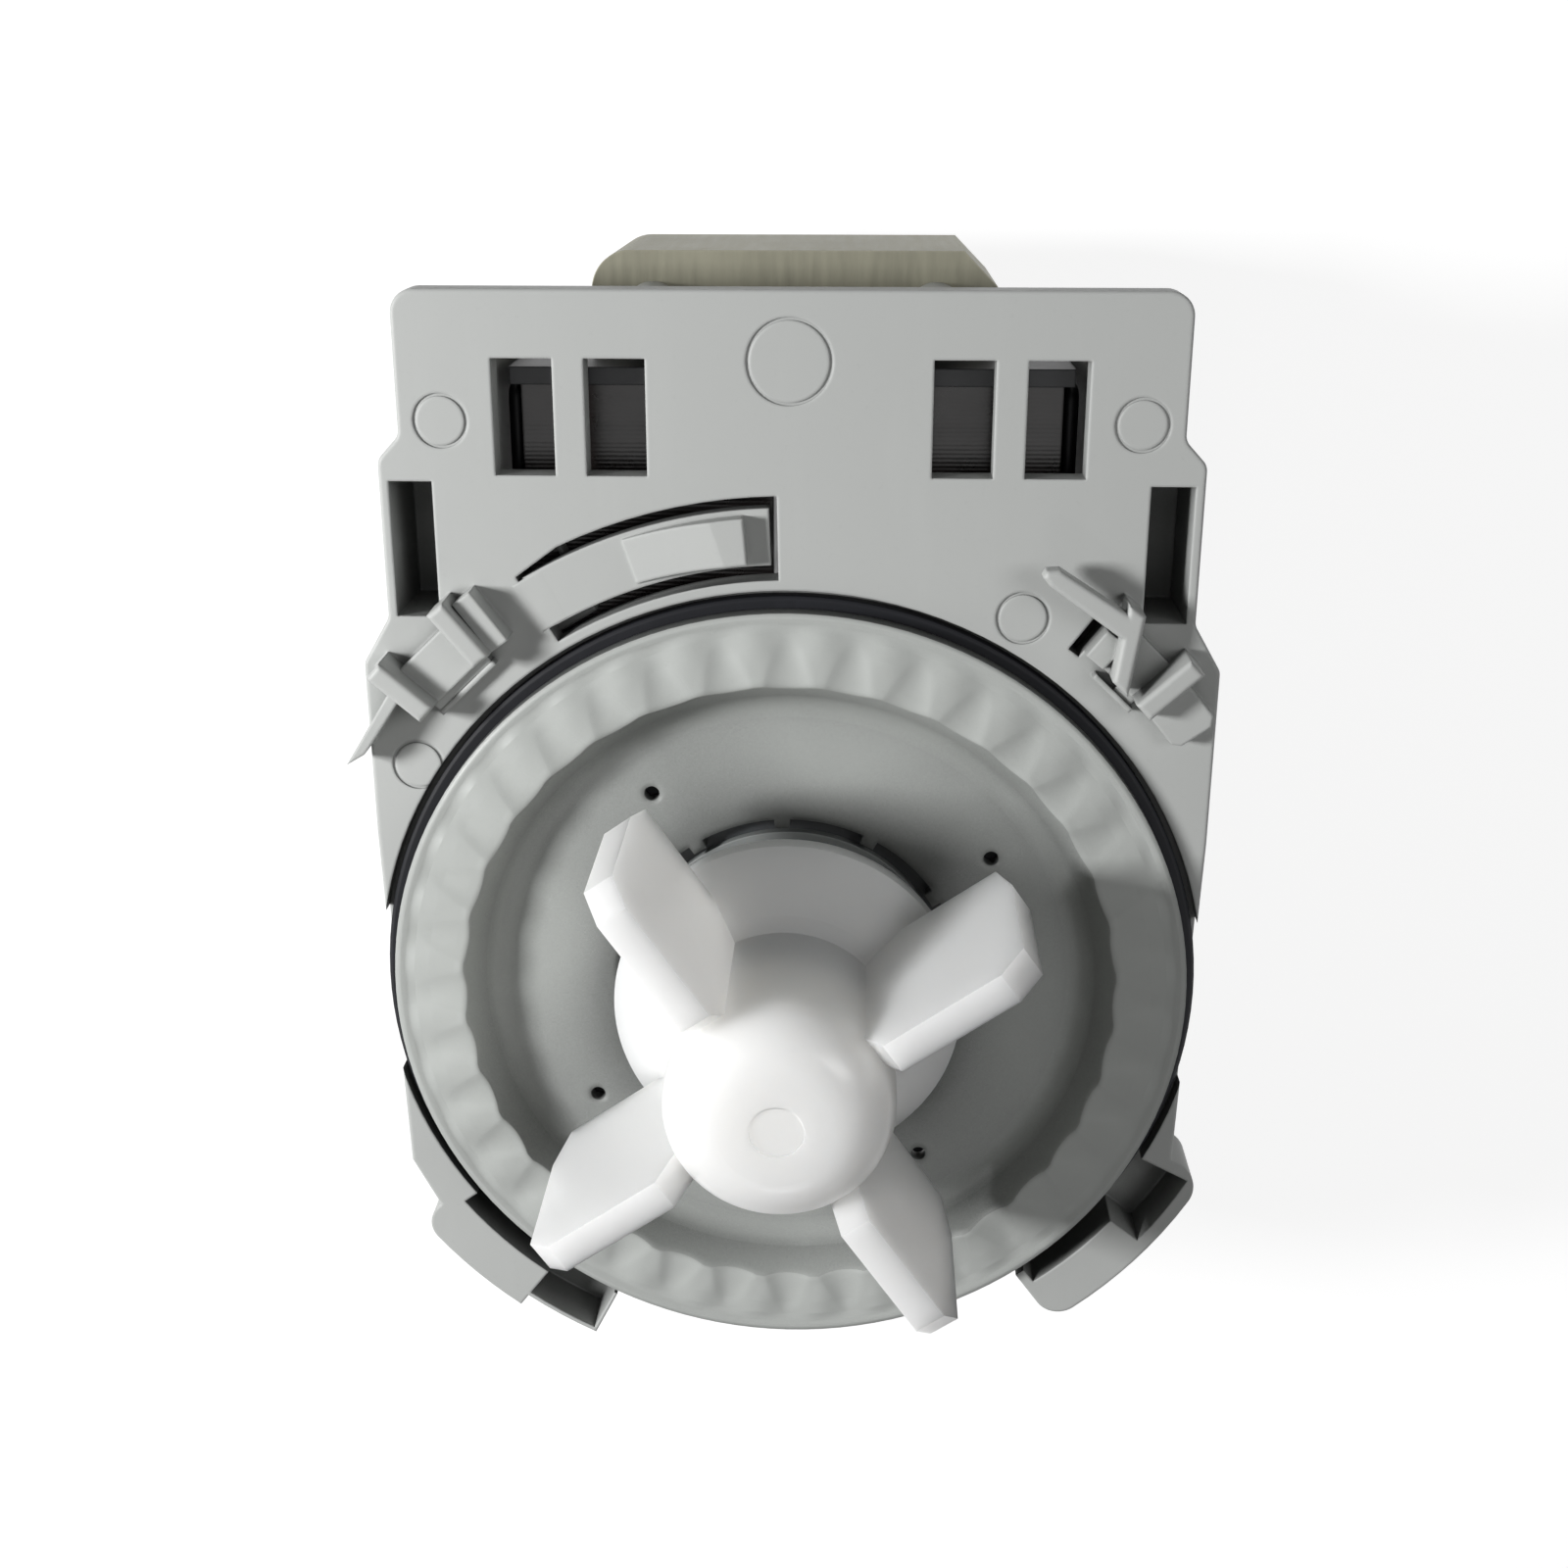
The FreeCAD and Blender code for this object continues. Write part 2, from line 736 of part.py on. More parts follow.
def make_lock_tongue():
    """The sprung tongue, drawn from its hinge at the root, where its end is rounded to turn."""
    body = new_body("lock_tongue")
    blade = new_sketch(body, "tongue_blade")
    sector(blade, "tongue_in", "tongue_out", "tongue_end - tongue_hinge", "0")
    pad(body, blade, "tongue_thick", down=True)
    wedge = new_sketch(body, "tongue_wedge")
    inner = "tongue_in + wedge_inset"
    outer = "tongue_out - wedge_inset"
    sector(wedge, inner, outer, "wedge_start - tongue_hinge", "wedge_end - tongue_hinge")
    block = pad(body, wedge, "wedge_high")
    turn = value("wedge_end - tongue_hinge")
    across = [
        name
        for name in level_edges(block, "wedge_high")
        if abs(math.degrees(math.atan2(middle_of(block, name).y, middle_of(block, name).x)) - turn) < 0.1
    ]
    ramp = dress(body, "Chamfer", "wedge_ramp", block, across, "wedge_ramp_high")
    ramp.ChamferType = "Two distances"
    ramp.setExpression("Size2", linked("wedge_ramp_long"))
    ramp.FlipDirection = RAMP_FLIPPED
    root = new_sketch(body, "tongue_root_round", "YZ_Plane", lift="tongue_in")
    circle(root, "0", "-tongue_thick / 2", "tongue_thick / 2")
    pad(body, root, "tongue_out - tongue_in")
    body.setExpression("Placement.Rotation.Angle", linked("tongue_hinge"))
    return body


def make_chamber_flange():
    body = new_body("chamber_flange")
    profile = [
        ("eye_radius", "-floor_deep"),
        ("floor_edge", "-floor_deep"),
        ("band_in_radius", "band_in_high"),
        ("flange_radius - 2 * rim_wide", "band_out_high"),
        ("flange_radius - rim_wide", "flange_rim"),
        ("flange_radius", "flange_rim"),
        ("flange_radius", "-skirt_under"),
        ("flange_foot", "-skirt_under"),
        ("flange_foot", "-recess_deep"),
        ("throat_radius - throat_gap", "-recess_deep"),
        ("throat_radius - throat_gap", FLOOR_BACK),
        ("eye_radius", FLOOR_BACK),
    ]
    turned = revolution(body, "flange_profile", profile)
    bowl = ring_edges(turned, [("floor_edge", "-floor_deep")])
    turned = dress(body, "Fillet", "bowl_round", turned, bowl, "floor_round")

    flute = new_sketch(body, "flute", "YZ_Plane", lift="flange_radius - 2 * rim_wide")
    tilted = FreeCAD.Rotation(FreeCAD.Vector(1, 0, 0), value("flute_tilt"))
    flute.AttachmentOffset = FreeCAD.Placement(FreeCAD.Vector(0, 0, 0), tilted)
    flute.setExpression("AttachmentOffset.Base.z", linked("flange_radius - 2 * rim_wide"))
    flute.setExpression("AttachmentOffset.Base.y", linked("band_out_high"))
    flute.setExpression("AttachmentOffset.Rotation.Angle", linked("flute_tilt"))
    circle(flute, "0", "flute_radius + flute_fade", "flute_radius")
    first = pocket(body, flute, "flange_radius - band_in_radius")
    polar_pattern(body, "flutes", first, FLUTES)
    drain = new_sketch(body, "drain", lift="-floor_deep")
    x, y = polar("drain_circle", "drain_start")
    circle(drain, x, y, "drain_radius")
    first = pocket(body, drain, "floor_thick")
    polar_pattern(body, "drains", first, DRAINS)
    tab = new_sketch(body, "eye_tab", lift="-floor_deep")
    low = "eye_tab_first - eye_tab_span / 2"
    sector(tab, "eye_radius - eye_tab", "eye_radius + eye_tab", low, low + " + eye_tab_span")
    first = pad(body, tab, "floor_thick", down=True)
    polar_pattern(body, "eye_tabs", first, EYE_TABS)

    posts = new_sketch(body, "core_post", lift=FLOOR_BACK)
    for high in ("post_high", "-post_high"):
        circle(posts, "post_side", high, "post_radius")
        circle(posts, "post_side", high, "pilot_radius")
    right = pad(body, posts, "core_front - floor_deep - floor_thick", down=True)
    mirrored(body, "core_post_left", [right])
    return body


def make_ring_gasket():
    body = new_body("ring_gasket")
    profile = [
        ("flange_foot + gasket_gap", "-recess_deep"),
        ("gasket_out", "-recess_deep"),
        ("gasket_out", "-skirt_under - gasket_gap"),
        ("gasket_out - gasket_gap", "-skirt_under - gasket_gap / 3"),
        ("flange_foot + gasket_gap", "-skirt_under - gasket_gap / 3"),
    ]
    revolution(body, "gasket_profile", profile)
    return body


def make_rotor_can():
    body = new_body("rotor_can")
    profile = [
        ("can_radius - can_wall", CAN_FRONT),
        ("can_collar", CAN_FRONT),
        ("can_collar", CAN_FRONT + " - can_collar_thick"),
        ("can_radius", CAN_FRONT + " - can_collar_thick"),
        ("can_radius", "-can_straight"),
        ("can_end_radius", "-can_straight - can_radius / 2 + can_end_radius / 2"),
        ("can_end_radius", "-can_end"),
        ("0", "-can_end"),
        ("0", "-can_pocket_end"),
        ("rubber_radius + seat_gap", "-can_pocket_end"),
        ("rubber_radius + seat_gap", "-can_pocket"),
        ("can_radius - can_wall", "-can_straight"),
    ]
    revolution(body, "can_profile", profile)
    return body


def make_bearing_holder():
    """The grey ring in the eye of the chamber floor, which plugs the can and holds the front bush."""
    body = new_body("bearing_holder")
    plug = "can_radius - can_wall - seat_gap"
    top = "-floor_deep - floor_thick / 2"
    profile = [
        ("bush_radius + seat_gap", top),
        ("holder_radius", top),
        ("holder_radius", CAN_FRONT),
        (plug, CAN_FRONT),
        (plug, "%s - holder_plug" % CAN_FRONT),
        ("rubber_radius + seat_gap", "%s - holder_plug" % CAN_FRONT),
        ("rubber_radius + seat_gap", top + " - holder_thick"),
        ("bush_radius + seat_gap", top + " - holder_thick"),
    ]
    revolution(body, "holder_profile", profile)
    groove = new_sketch(body, "seal_groove", "XZ_Plane")
    middle = "%s - holder_plug / 2" % CAN_FRONT
    rectangle(groove, plug + " - ring_seal", middle + " - ring_seal", plug + " + 1", middle + " + ring_seal")
    channel = body.newObject("PartDesign::Groove", "seal_channel")
    channel.Profile = groove
    channel.ReferenceAxis = (groove, ["V_Axis"])
    channel.Angle = 360
    body.Tip = channel
    doc.recompute()
    return body


def make_can_seal():
    """The round seal between the holder's plug and the can."""
    ring = doc.addObject("Part::Torus", "can_seal")
    ring.Label = "can_seal"
    ring.setExpression("Radius1", linked("can_radius - can_wall - ring_seal / 2 - seat_gap / 2"))
    ring.setExpression("Radius2", linked("ring_seal / 2 + seat_gap / 4"))
    ring.setExpression("Placement.Base.z", linked("%s - holder_plug / 2" % CAN_FRONT))
    return ring


def tube(label, outer, inner, low, high):
    body = new_body(label)
    revolution(body, label + "_profile", [(inner, low), (outer, low), (outer, high), (inner, high)])
    return body


def make_bearings():
    """Two plain bushes, each held in a rubber seat."""
    bore = "shaft_radius + shaft_play"
    front_high = "-floor_deep - floor_thick / 2 - holder_thick"
    front_low = "%s - holder_plug + 0.4" % CAN_FRONT
    bush_low = "-floor_deep - floor_thick / 2 - bush_long"
    tube("front_bush", "bush_radius", bore, bush_low, "-floor_deep - floor_thick / 2")
    tube("front_bush_seat", "rubber_radius", "bush_radius + fit_gap", front_low, front_high + " - fit_gap")
    rear_low = "-can_pocket_end + fit_gap"
    rear_high = rear_low + " + bush_long"
    tube("rear_bush", "bush_radius", bore, rear_low, rear_high)
    tube("rear_bush_seat", "rubber_radius", "bush_radius + fit_gap", rear_low, rear_high + " - washer_thick")


def make_rotor():
    """Shaft, plastic sleeve, ring magnet and the washers that take the thrust."""
    shaft = new_body("rotor_shaft")
    end = "-can_pocket_end + 2 * washer_thick"
    rod = [("0", end), ("shaft_radius", end), ("shaft_radius", "shaft_top"), ("0", "shaft_top")]
    turned = revolution(shaft, "shaft_profile", rod)
    tips = ring_edges(turned, [("shaft_radius", end), ("shaft_radius", "shaft_top")])
    dress(shaft, "Chamfer", "shaft_tips", turned, tips, "washer_thick / 2")

    back = "-magnet_front - magnet_long"
    profile = [
        ("shaft_radius + fit_gap", back + " - sleeve_rim_thick"),
        ("sleeve_rim", back + " - sleeve_rim_thick"),
        ("sleeve_rim", back),
        ("magnet_bore - fit_gap", back),
        ("magnet_bore - fit_gap", "-magnet_front"),
        ("sleeve_rim", "-magnet_front"),
        ("sleeve_rim", "-magnet_front + sleeve_rim_thick"),
        ("shaft_radius + fit_gap", "-magnet_front + sleeve_rim_thick"),
    ]
    sleeve = new_body("rotor_sleeve")
    revolution(sleeve, "sleeve_profile", profile)
    tube("rotor_magnet", "magnet_radius", "magnet_bore", back + " + fit_gap", "-magnet_front - fit_gap")


def make_thrust_washers():
    """One washer in front of the sleeve and one behind it."""
    members = []
    places = {
        "front": "-magnet_front + sleeve_rim_thick + fit_gap",
        "rear": "-magnet_front - magnet_long - sleeve_rim_thick - washer_thick - fit_gap",
    }
    for name, low in places.items():
        disc = cylinder(name + "_washer_disc", "washer_radius", "washer_thick", "0", "0", low)
        bore = cylinder(name + "_washer_bore", "shaft_radius + fit_gap", "washer_thick", "0", "0", low)
        members.append(cut(name + "_washer", disc, bore))
    return group("thrust_washers", members)


def make_drive_dog():
    """The carrier on the shaft whose wing pushes the impeller round after some lost motion."""
    body = new_body("drive_dog")
    profile = [
        ("shaft_radius + fit_gap", "dog_low"),
        ("dog_hub", "dog_low"),
        ("dog_hub", "dog_high"),
        ("shaft_radius + fit_gap", "dog_high"),
    ]
    revolution(body, "dog_profile", profile)
    wing = new_sketch(body, "dog_wing", lift="dog_wing_low")
    start = "impeller_turn - dog_span / 2"
    sector(wing, "dog_hub - seat_gap", "dog_reach", start, start + " + dog_span")
    pad(body, wing, "dog_high - dog_wing_low")
    return body


def make_impeller():
    body = new_body("impeller")
    profile = [
        ("cavity_radius", "hub_low"),
        ("disc_radius", "disc_low"),
        ("disc_radius", "disc_high"),
        ("cone_radius", "cone_high"),
        ("hub_radius", "cone_high + cone_radius - hub_radius"),
        ("hub_radius", "hub_high"),
        ("0", "hub_high"),
        ("0", "shaft_top + seat_gap"),
        ("shaft_bore", "shaft_top + seat_gap"),
        ("shaft_bore", "cavity_high"),
        ("cavity_radius", "cavity_high"),
    ]
    turned = revolution(body, "hub_profile", profile)
    crown = ring_edges(turned, [("hub_radius", "hub_high")])
    turned = dress(body, "Fillet", "hub_crown", turned, crown, "hub_round")
    gate = new_sketch(body, "gate_mark", lift="hub_high")
    circle(gate, "0", "0", "gate_radius")
    pocket(body, gate, "gate_deep")
    toe = "blade_reach - blade_toe"
    blade = new_sketch(body, "blade", "XZ_Plane")
    inner = "hub_radius - 1"
    outline = [
        (inner, "blade_low"),
        (toe, "blade_low"),
        ("blade_reach", "blade_low + blade_toe_high"),
        ("blade_reach", "blade_high - blade_chamfer"),
        ("blade_reach - blade_chamfer", "blade_high"),
        (inner + " + hub_round / 2", "blade_high"),
        (inner, "hub_shoulder"),
    ]
    polygon(blade, outline)
    first = pad(body, blade, "blade_thick", middle=True)
    polar_pattern(body, "blades", first, BLADES)
    stop = new_sketch(body, "stop", lift="hub_low + cover_thick + seat_gap")
    start = "stop_centre - stop_span / 2"
    sector(stop, "dog_hub + 2 * seat_gap", "cavity_radius + seat_gap", start, start + " + stop_span")
    pad(body, stop, "cavity_high - hub_low - cover_thick")
    body.setExpression("Placement.Rotation.Angle", linked("impeller_turn"))
    return body


def make_stop_buffers():
    """Rubber pads on the two faces of the impeller's stop."""
    members = []
    span = "buffer_thick / dog_reach * 57.3"
    edges = {
        "buffer_a": ("stop_centre + stop_span / 2", 1),
        "buffer_b": ("stop_centre - stop_span / 2", -1),
    }
    for name, (edge, side) in edges.items():
        turn = "impeller_turn + " + edge
        low = "0" if side > 0 else "-" + span
        block = Part.makeCylinder(
            value("cavity_radius - seat_gap"),
            value("dog_high - dog_wing_low"),
            FreeCAD.Vector(0, 0, value("dog_wing_low")),
            FreeCAD.Vector(0, 0, 1),
            value(span),
        )
        core = Part.makeCylinder(
            value("dog_hub + 3 * seat_gap"),
            value("dog_high - dog_wing_low"),
            FreeCAD.Vector(0, 0, value("dog_wing_low")),
        )
        feature = doc.addObject("Part::Feature", name)
        feature.Shape = block.cut(core)
        turned = FreeCAD.Rotation(FreeCAD.Vector(0, 0, 1), value(turn) + value(low))
        feature.Placement = FreeCAD.Placement(FreeCAD.Vector(0, 0, 0), turned)
        members.append(feature)
    return group("stop_buffers", members)


def make_impeller_cover():
    outer = "cavity_radius - fit_gap"
    inner = "dog_hub + 2 * seat_gap"
    return tube("impeller_cover", outer, inner, "hub_low", "hub_low + cover_thick")


def make_pole_core():
    """Two poles round the can, each with the leg that carries a coil."""
    body = new_body("pole_core")
    reach = "core_bore + air_bridge"
    outline = new_sketch(body, "pole_outline", lift="-core_front")
    half = [
        ("air_slot / 2", "-" + "(%s)" % reach),
        ("air_slot / 2", "-pole_high"),
        ("pole_half - pole_corner", "-pole_high"),
        ("pole_half", "-pole_high + pole_corner"),
        ("pole_half", "pole_high"),
        ("leg_out", "pole_high"),
        ("leg_out", "yoke_low"),
        ("leg_in", "yoke_low"),
        ("leg_in", "pole_high"),
        ("air_slot / 2", "pole_high"),
        ("air_slot / 2", reach),
    ]
    polygon(outline, half + [("-(%s)" % x, y) for x, y in reversed(half)])
    pad(body, outline, "core_stack", down=True)
    bore = new_sketch(body, "pole_bore", lift="-core_front")
    circle(bore, "0", "0", "core_bore")
    pocket(body, bore, "core_stack")
    holes = new_sketch(body, "pole_holes", lift="-core_front")
    for side in ("", "-"):
        for high in ("post_high", "-post_high"):
            circle(holes, side + "post_side", high, "screw_hole")
        for high in ("rivet_up", "-rivet_up"):
            circle(holes, side + "rivet_side", high, "rivet_radius + fit_gap")
    pocket(body, holes, "core_stack")
    return body


def make_yoke_core():
    """The bar that closes the two legs, one corner rounded and one cut."""
    body = new_body("yoke_core")
    outline = new_sketch(body, "yoke_outline", lift="-core_front")
    corners = [
        ("-leg_out", "yoke_low"),
        ("leg_out", "yoke_low"),
        ("leg_out", "yoke_high - yoke_cut"),
        ("leg_out - yoke_cut", "yoke_high"),
        ("-leg_out", "yoke_high"),
    ]
    polygon(outline, corners)
    bar = pad(body, outline, "core_stack", down=True)
    dress(body, "Fillet", "yoke_round", bar, upright_edges(bar, [("-leg_out", "yoke_high")]), "yoke_corner")
    holes = new_sketch(body, "yoke_holes", lift="-core_front")
    for side in ("", "-"):
        circle(holes, side + "(leg_in / 2 + leg_out / 2)", "boss_high", "screw_hole")
    pocket(body, holes, "core_stack")
    return body


def make_core_rivets():
    members = []
    back = CORE_BACK + " - rivet_head_high"
    for count, (side, high) in enumerate((s, h) for s in ("", "-") for h in ("rivet_up", "-rivet_up")):
        x = side + "rivet_side"
        name = "rivet_%d" % count
        parts = [
            cylinder(name + "_pin", "rivet_radius", "core_stack", x, high, CORE_BACK),
            cylinder(name + "_front", "rivet_head", "rivet_head_high", x, high, "-core_front"),
            cylinder(name + "_back", "rivet_head", "rivet_head_high", x, high, back),
        ]
        members.append(fuse(name, parts))
    return group("core_rivets", members)


def make_screws(label, places):
    """Screws that clamp the stack from behind and bite into the plastic in front."""
    members = []
    for count, (x, y) in enumerate(places):
        name = "%s_%d" % (label, count)
        length = "core_stack + screw_bite"
        parts = [
            cylinder(name + "_stem", "pilot_radius - fit_gap", length, x, y, CORE_BACK),
            cylinder(name + "_head", "screw_head", "screw_head_high", x, y, CORE_BACK + " - screw_head_high"),
        ]
        members.append(fuse(name, parts))
    return group(label, members)


def make_coil(side, sign):
    """One bobbin on its leg, with its winding and the sleeve wrapped round it."""
    centre = sign + "(leg_in / 2 + leg_out / 2)"
    low_end = "pole_high + coil_gap"
    high_end = "yoke_low - coil_gap"
    leg = "leg_out / 2 - leg_in / 2"
    inner = ("%s + coil_gap" % leg, "-core_front + coil_gap", CORE_BACK + " - coil_gap")
    spool = ("%s + coil_gap + bobbin_wall" % leg, inner[1] + " + bobbin_wall", inner[2] + " - bobbin_wall")
    flange = ("bobbin_half", COIL_FRONT, COIL_BACK)
    wire = tuple("%s %s wrap_inset %s wrap_thick" % (t, s, s) for t, s in zip(flange, ("-", "-", "+")))
    wrap = tuple("%s %s wrap_inset" % (t, s) for t, s in zip(flange, ("-", "-", "+")))

    def block(name, section, low, high):
        half, front, back = section
        return box(name, (centre + " - (%s)" % half, low, back), (centre + " + " + half, high, front))

    inside_low = low_end + " + bobbin_flange"
    inside_high = high_end + " - bobbin_flange"
    parts = [
        block("spool_" + side, spool, low_end, high_end),
        block("flange_low_" + side, flange, low_end, inside_low),
        block("flange_high_" + side, flange, inside_high, high_end),
    ]
    solid = fuse("bobbin_solid_" + side, parts)
    cut("bobbin_" + side, solid, block("bobbin_bore_" + side, inner, low_end + " - 1", high_end + " + 1"))
    turns = block("turns_" + side, wire, inside_low + " + fit_gap", inside_high + " - fit_gap")
    hollow = tuple("%s %s fit_gap" % (t, s) for t, s in zip(spool, ("+", "+", "-")))
    cut("winding_" + side, turns, block("turns_bore_" + side, hollow, inside_low, inside_high))
    sleeve = block("sleeve_" + side, wrap, inside_low + " + fit_gap", inside_high + " - fit_gap")
    clear = tuple("%s %s fit_gap" % (t, s) for t, s in zip(wire, ("+", "+", "-")))
    cut("coil_wrap_" + side, sleeve, block("sleeve_bore_" + side, clear, inside_low, inside_high))


def make_terminal_block():
    """The plug socket behind the coils, open to the back."""
    front = COIL_BACK + " - seat_gap"
    shell = box("block_shell", ("-block_half", "block_low", "-can_end"), ("block_half", "block_high", front))
    low = ("-block_half + block_wall", "block_low + block_wall", "-can_end - 1")
    high = ("block_half - block_wall", "block_high - block_wall", front + " - block_base")
    return cut("terminal_block", shell, box("block_room", low, high))


def make_terminal_tabs():
    """Two blade terminals that stand on the base of the socket."""
    members = []
    middle = "block_low / 2 + block_high / 2"
    base = COIL_BACK + " - seat_gap - block_base"
    for name, sign in (("right", ""), ("left", "-")):
        x = sign + "tab_side"
        low = ("%s - tab_wide / 2" % x, middle + " - tab_thick / 2", base + " - tab_long")
        high = ("%s + tab_wide / 2" % x, middle + " + tab_thick / 2", base)
        members.append(box("tab_" + name, low, high))
    return group("terminal_tabs", members)


make_mounting_plate()
make_lock_tongue()
make_chamber_flange()
make_ring_gasket()
make_rotor_can()
make_bearing_holder()
make_can_seal()
make_bearings()
make_rotor()
make_thrust_washers()
make_drive_dog()
make_impeller()
make_stop_buffers()
make_impeller_cover()
make_pole_core()
make_yoke_core()
make_core_rivets()
make_screws("core_screws", [(side + "post_side", "-post_high") for side in ("", "-")])
make_screws("yoke_screws", [(side + "(leg_in / 2 + leg_out / 2)", "boss_high") for side in ("", "-")])
make_coil("right", "")
make_coil("left", "-")
make_terminal_block()
make_terminal_tabs()
doc.recompute()

NODES = [
    "mounting_plate", "lock_tongue", "chamber_flange", "ring_gasket", "rotor_can", "bearing_holder",
    "can_seal", "front_bush", "front_bush_seat", "rear_bush", "rear_bush_seat", "rotor_shaft",
    "rotor_sleeve", "rotor_magnet", "thrust_washers", "drive_dog", "impeller", "stop_buffers",
    "impeller_cover", "pole_core", "yoke_core", "core_rivets", "core_screws", "yoke_screws",
    "bobbin_right", "bobbin_left", "winding_right", "winding_left", "coil_wrap_right",
    "coil_wrap_left", "terminal_block", "terminal_tabs",
]
faults = [item.Name for item in doc.Objects if {"Invalid", "Error"} & set(item.State)]
pieces = {name: doc.getObjectsByLabel(name)[0] for name in NODES}
for name, piece in pieces.items():
    if piece.Shape.isNull() or not piece.Shape.isValid() or not piece.Shape.Solids:
        faults.append(name)
if faults:
    raise SystemExit("failed: " + ", ".join(faults))
os.makedirs("parts", exist_ok=True)
for name, piece in pieces.items():
    piece.Shape.exportStep("parts/%s.step" % name)
    print("%-18s %d solids %10.1f mm3" % (name, len(piece.Shape.Solids), piece.Shape.Volume))
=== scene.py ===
import math

import bmesh
import bpy
from mathutils import Matrix, Vector


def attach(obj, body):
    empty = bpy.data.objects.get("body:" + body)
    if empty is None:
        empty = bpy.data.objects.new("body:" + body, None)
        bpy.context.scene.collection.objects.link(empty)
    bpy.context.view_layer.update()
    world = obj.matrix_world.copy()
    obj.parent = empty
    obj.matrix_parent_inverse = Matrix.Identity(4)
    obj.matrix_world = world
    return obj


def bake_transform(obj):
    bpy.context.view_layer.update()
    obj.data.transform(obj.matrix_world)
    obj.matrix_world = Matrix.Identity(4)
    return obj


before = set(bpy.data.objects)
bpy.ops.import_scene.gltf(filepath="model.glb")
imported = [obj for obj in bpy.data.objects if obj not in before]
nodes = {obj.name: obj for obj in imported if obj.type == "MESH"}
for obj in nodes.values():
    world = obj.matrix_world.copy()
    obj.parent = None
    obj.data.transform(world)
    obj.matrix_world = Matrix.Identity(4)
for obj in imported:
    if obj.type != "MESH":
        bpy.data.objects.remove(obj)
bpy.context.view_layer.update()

# Lengths are in millimetres unless a comment says metres, and MM turns them into metres.
MM = 0.001

# The curve that screens use: a straight foot, then a power.
FOOT_END, FOOT_SLOPE = 0.04045, 12.92
CURVE_SHIFT, CURVE_POWER = 0.055, 2.4

# How finely the renderer looks round an edge and into a recess.
EDGE_SAMPLES, RECESS_SAMPLES = 6, 8
# How wide the paler band at an edge is, for wear and a painted highlight.
WEAR_AND_HIGHLIGHT_WIDTH = 0.35


def shade(red, green, blue):
    """A colour written as the eye sees it, from 0 to 255, as a linear one."""
    def one(level):
        level = level / 255
        if level <= FOOT_END:
            return level / FOOT_SLOPE
        return ((level + CURVE_SHIFT) / (1 + CURVE_SHIFT)) ** CURVE_POWER
    return (one(red), one(green), one(blue), 1)


def scaled(colour, factor):
    return tuple(min(1, channel * factor) for channel in colour[:3]) + (1,)


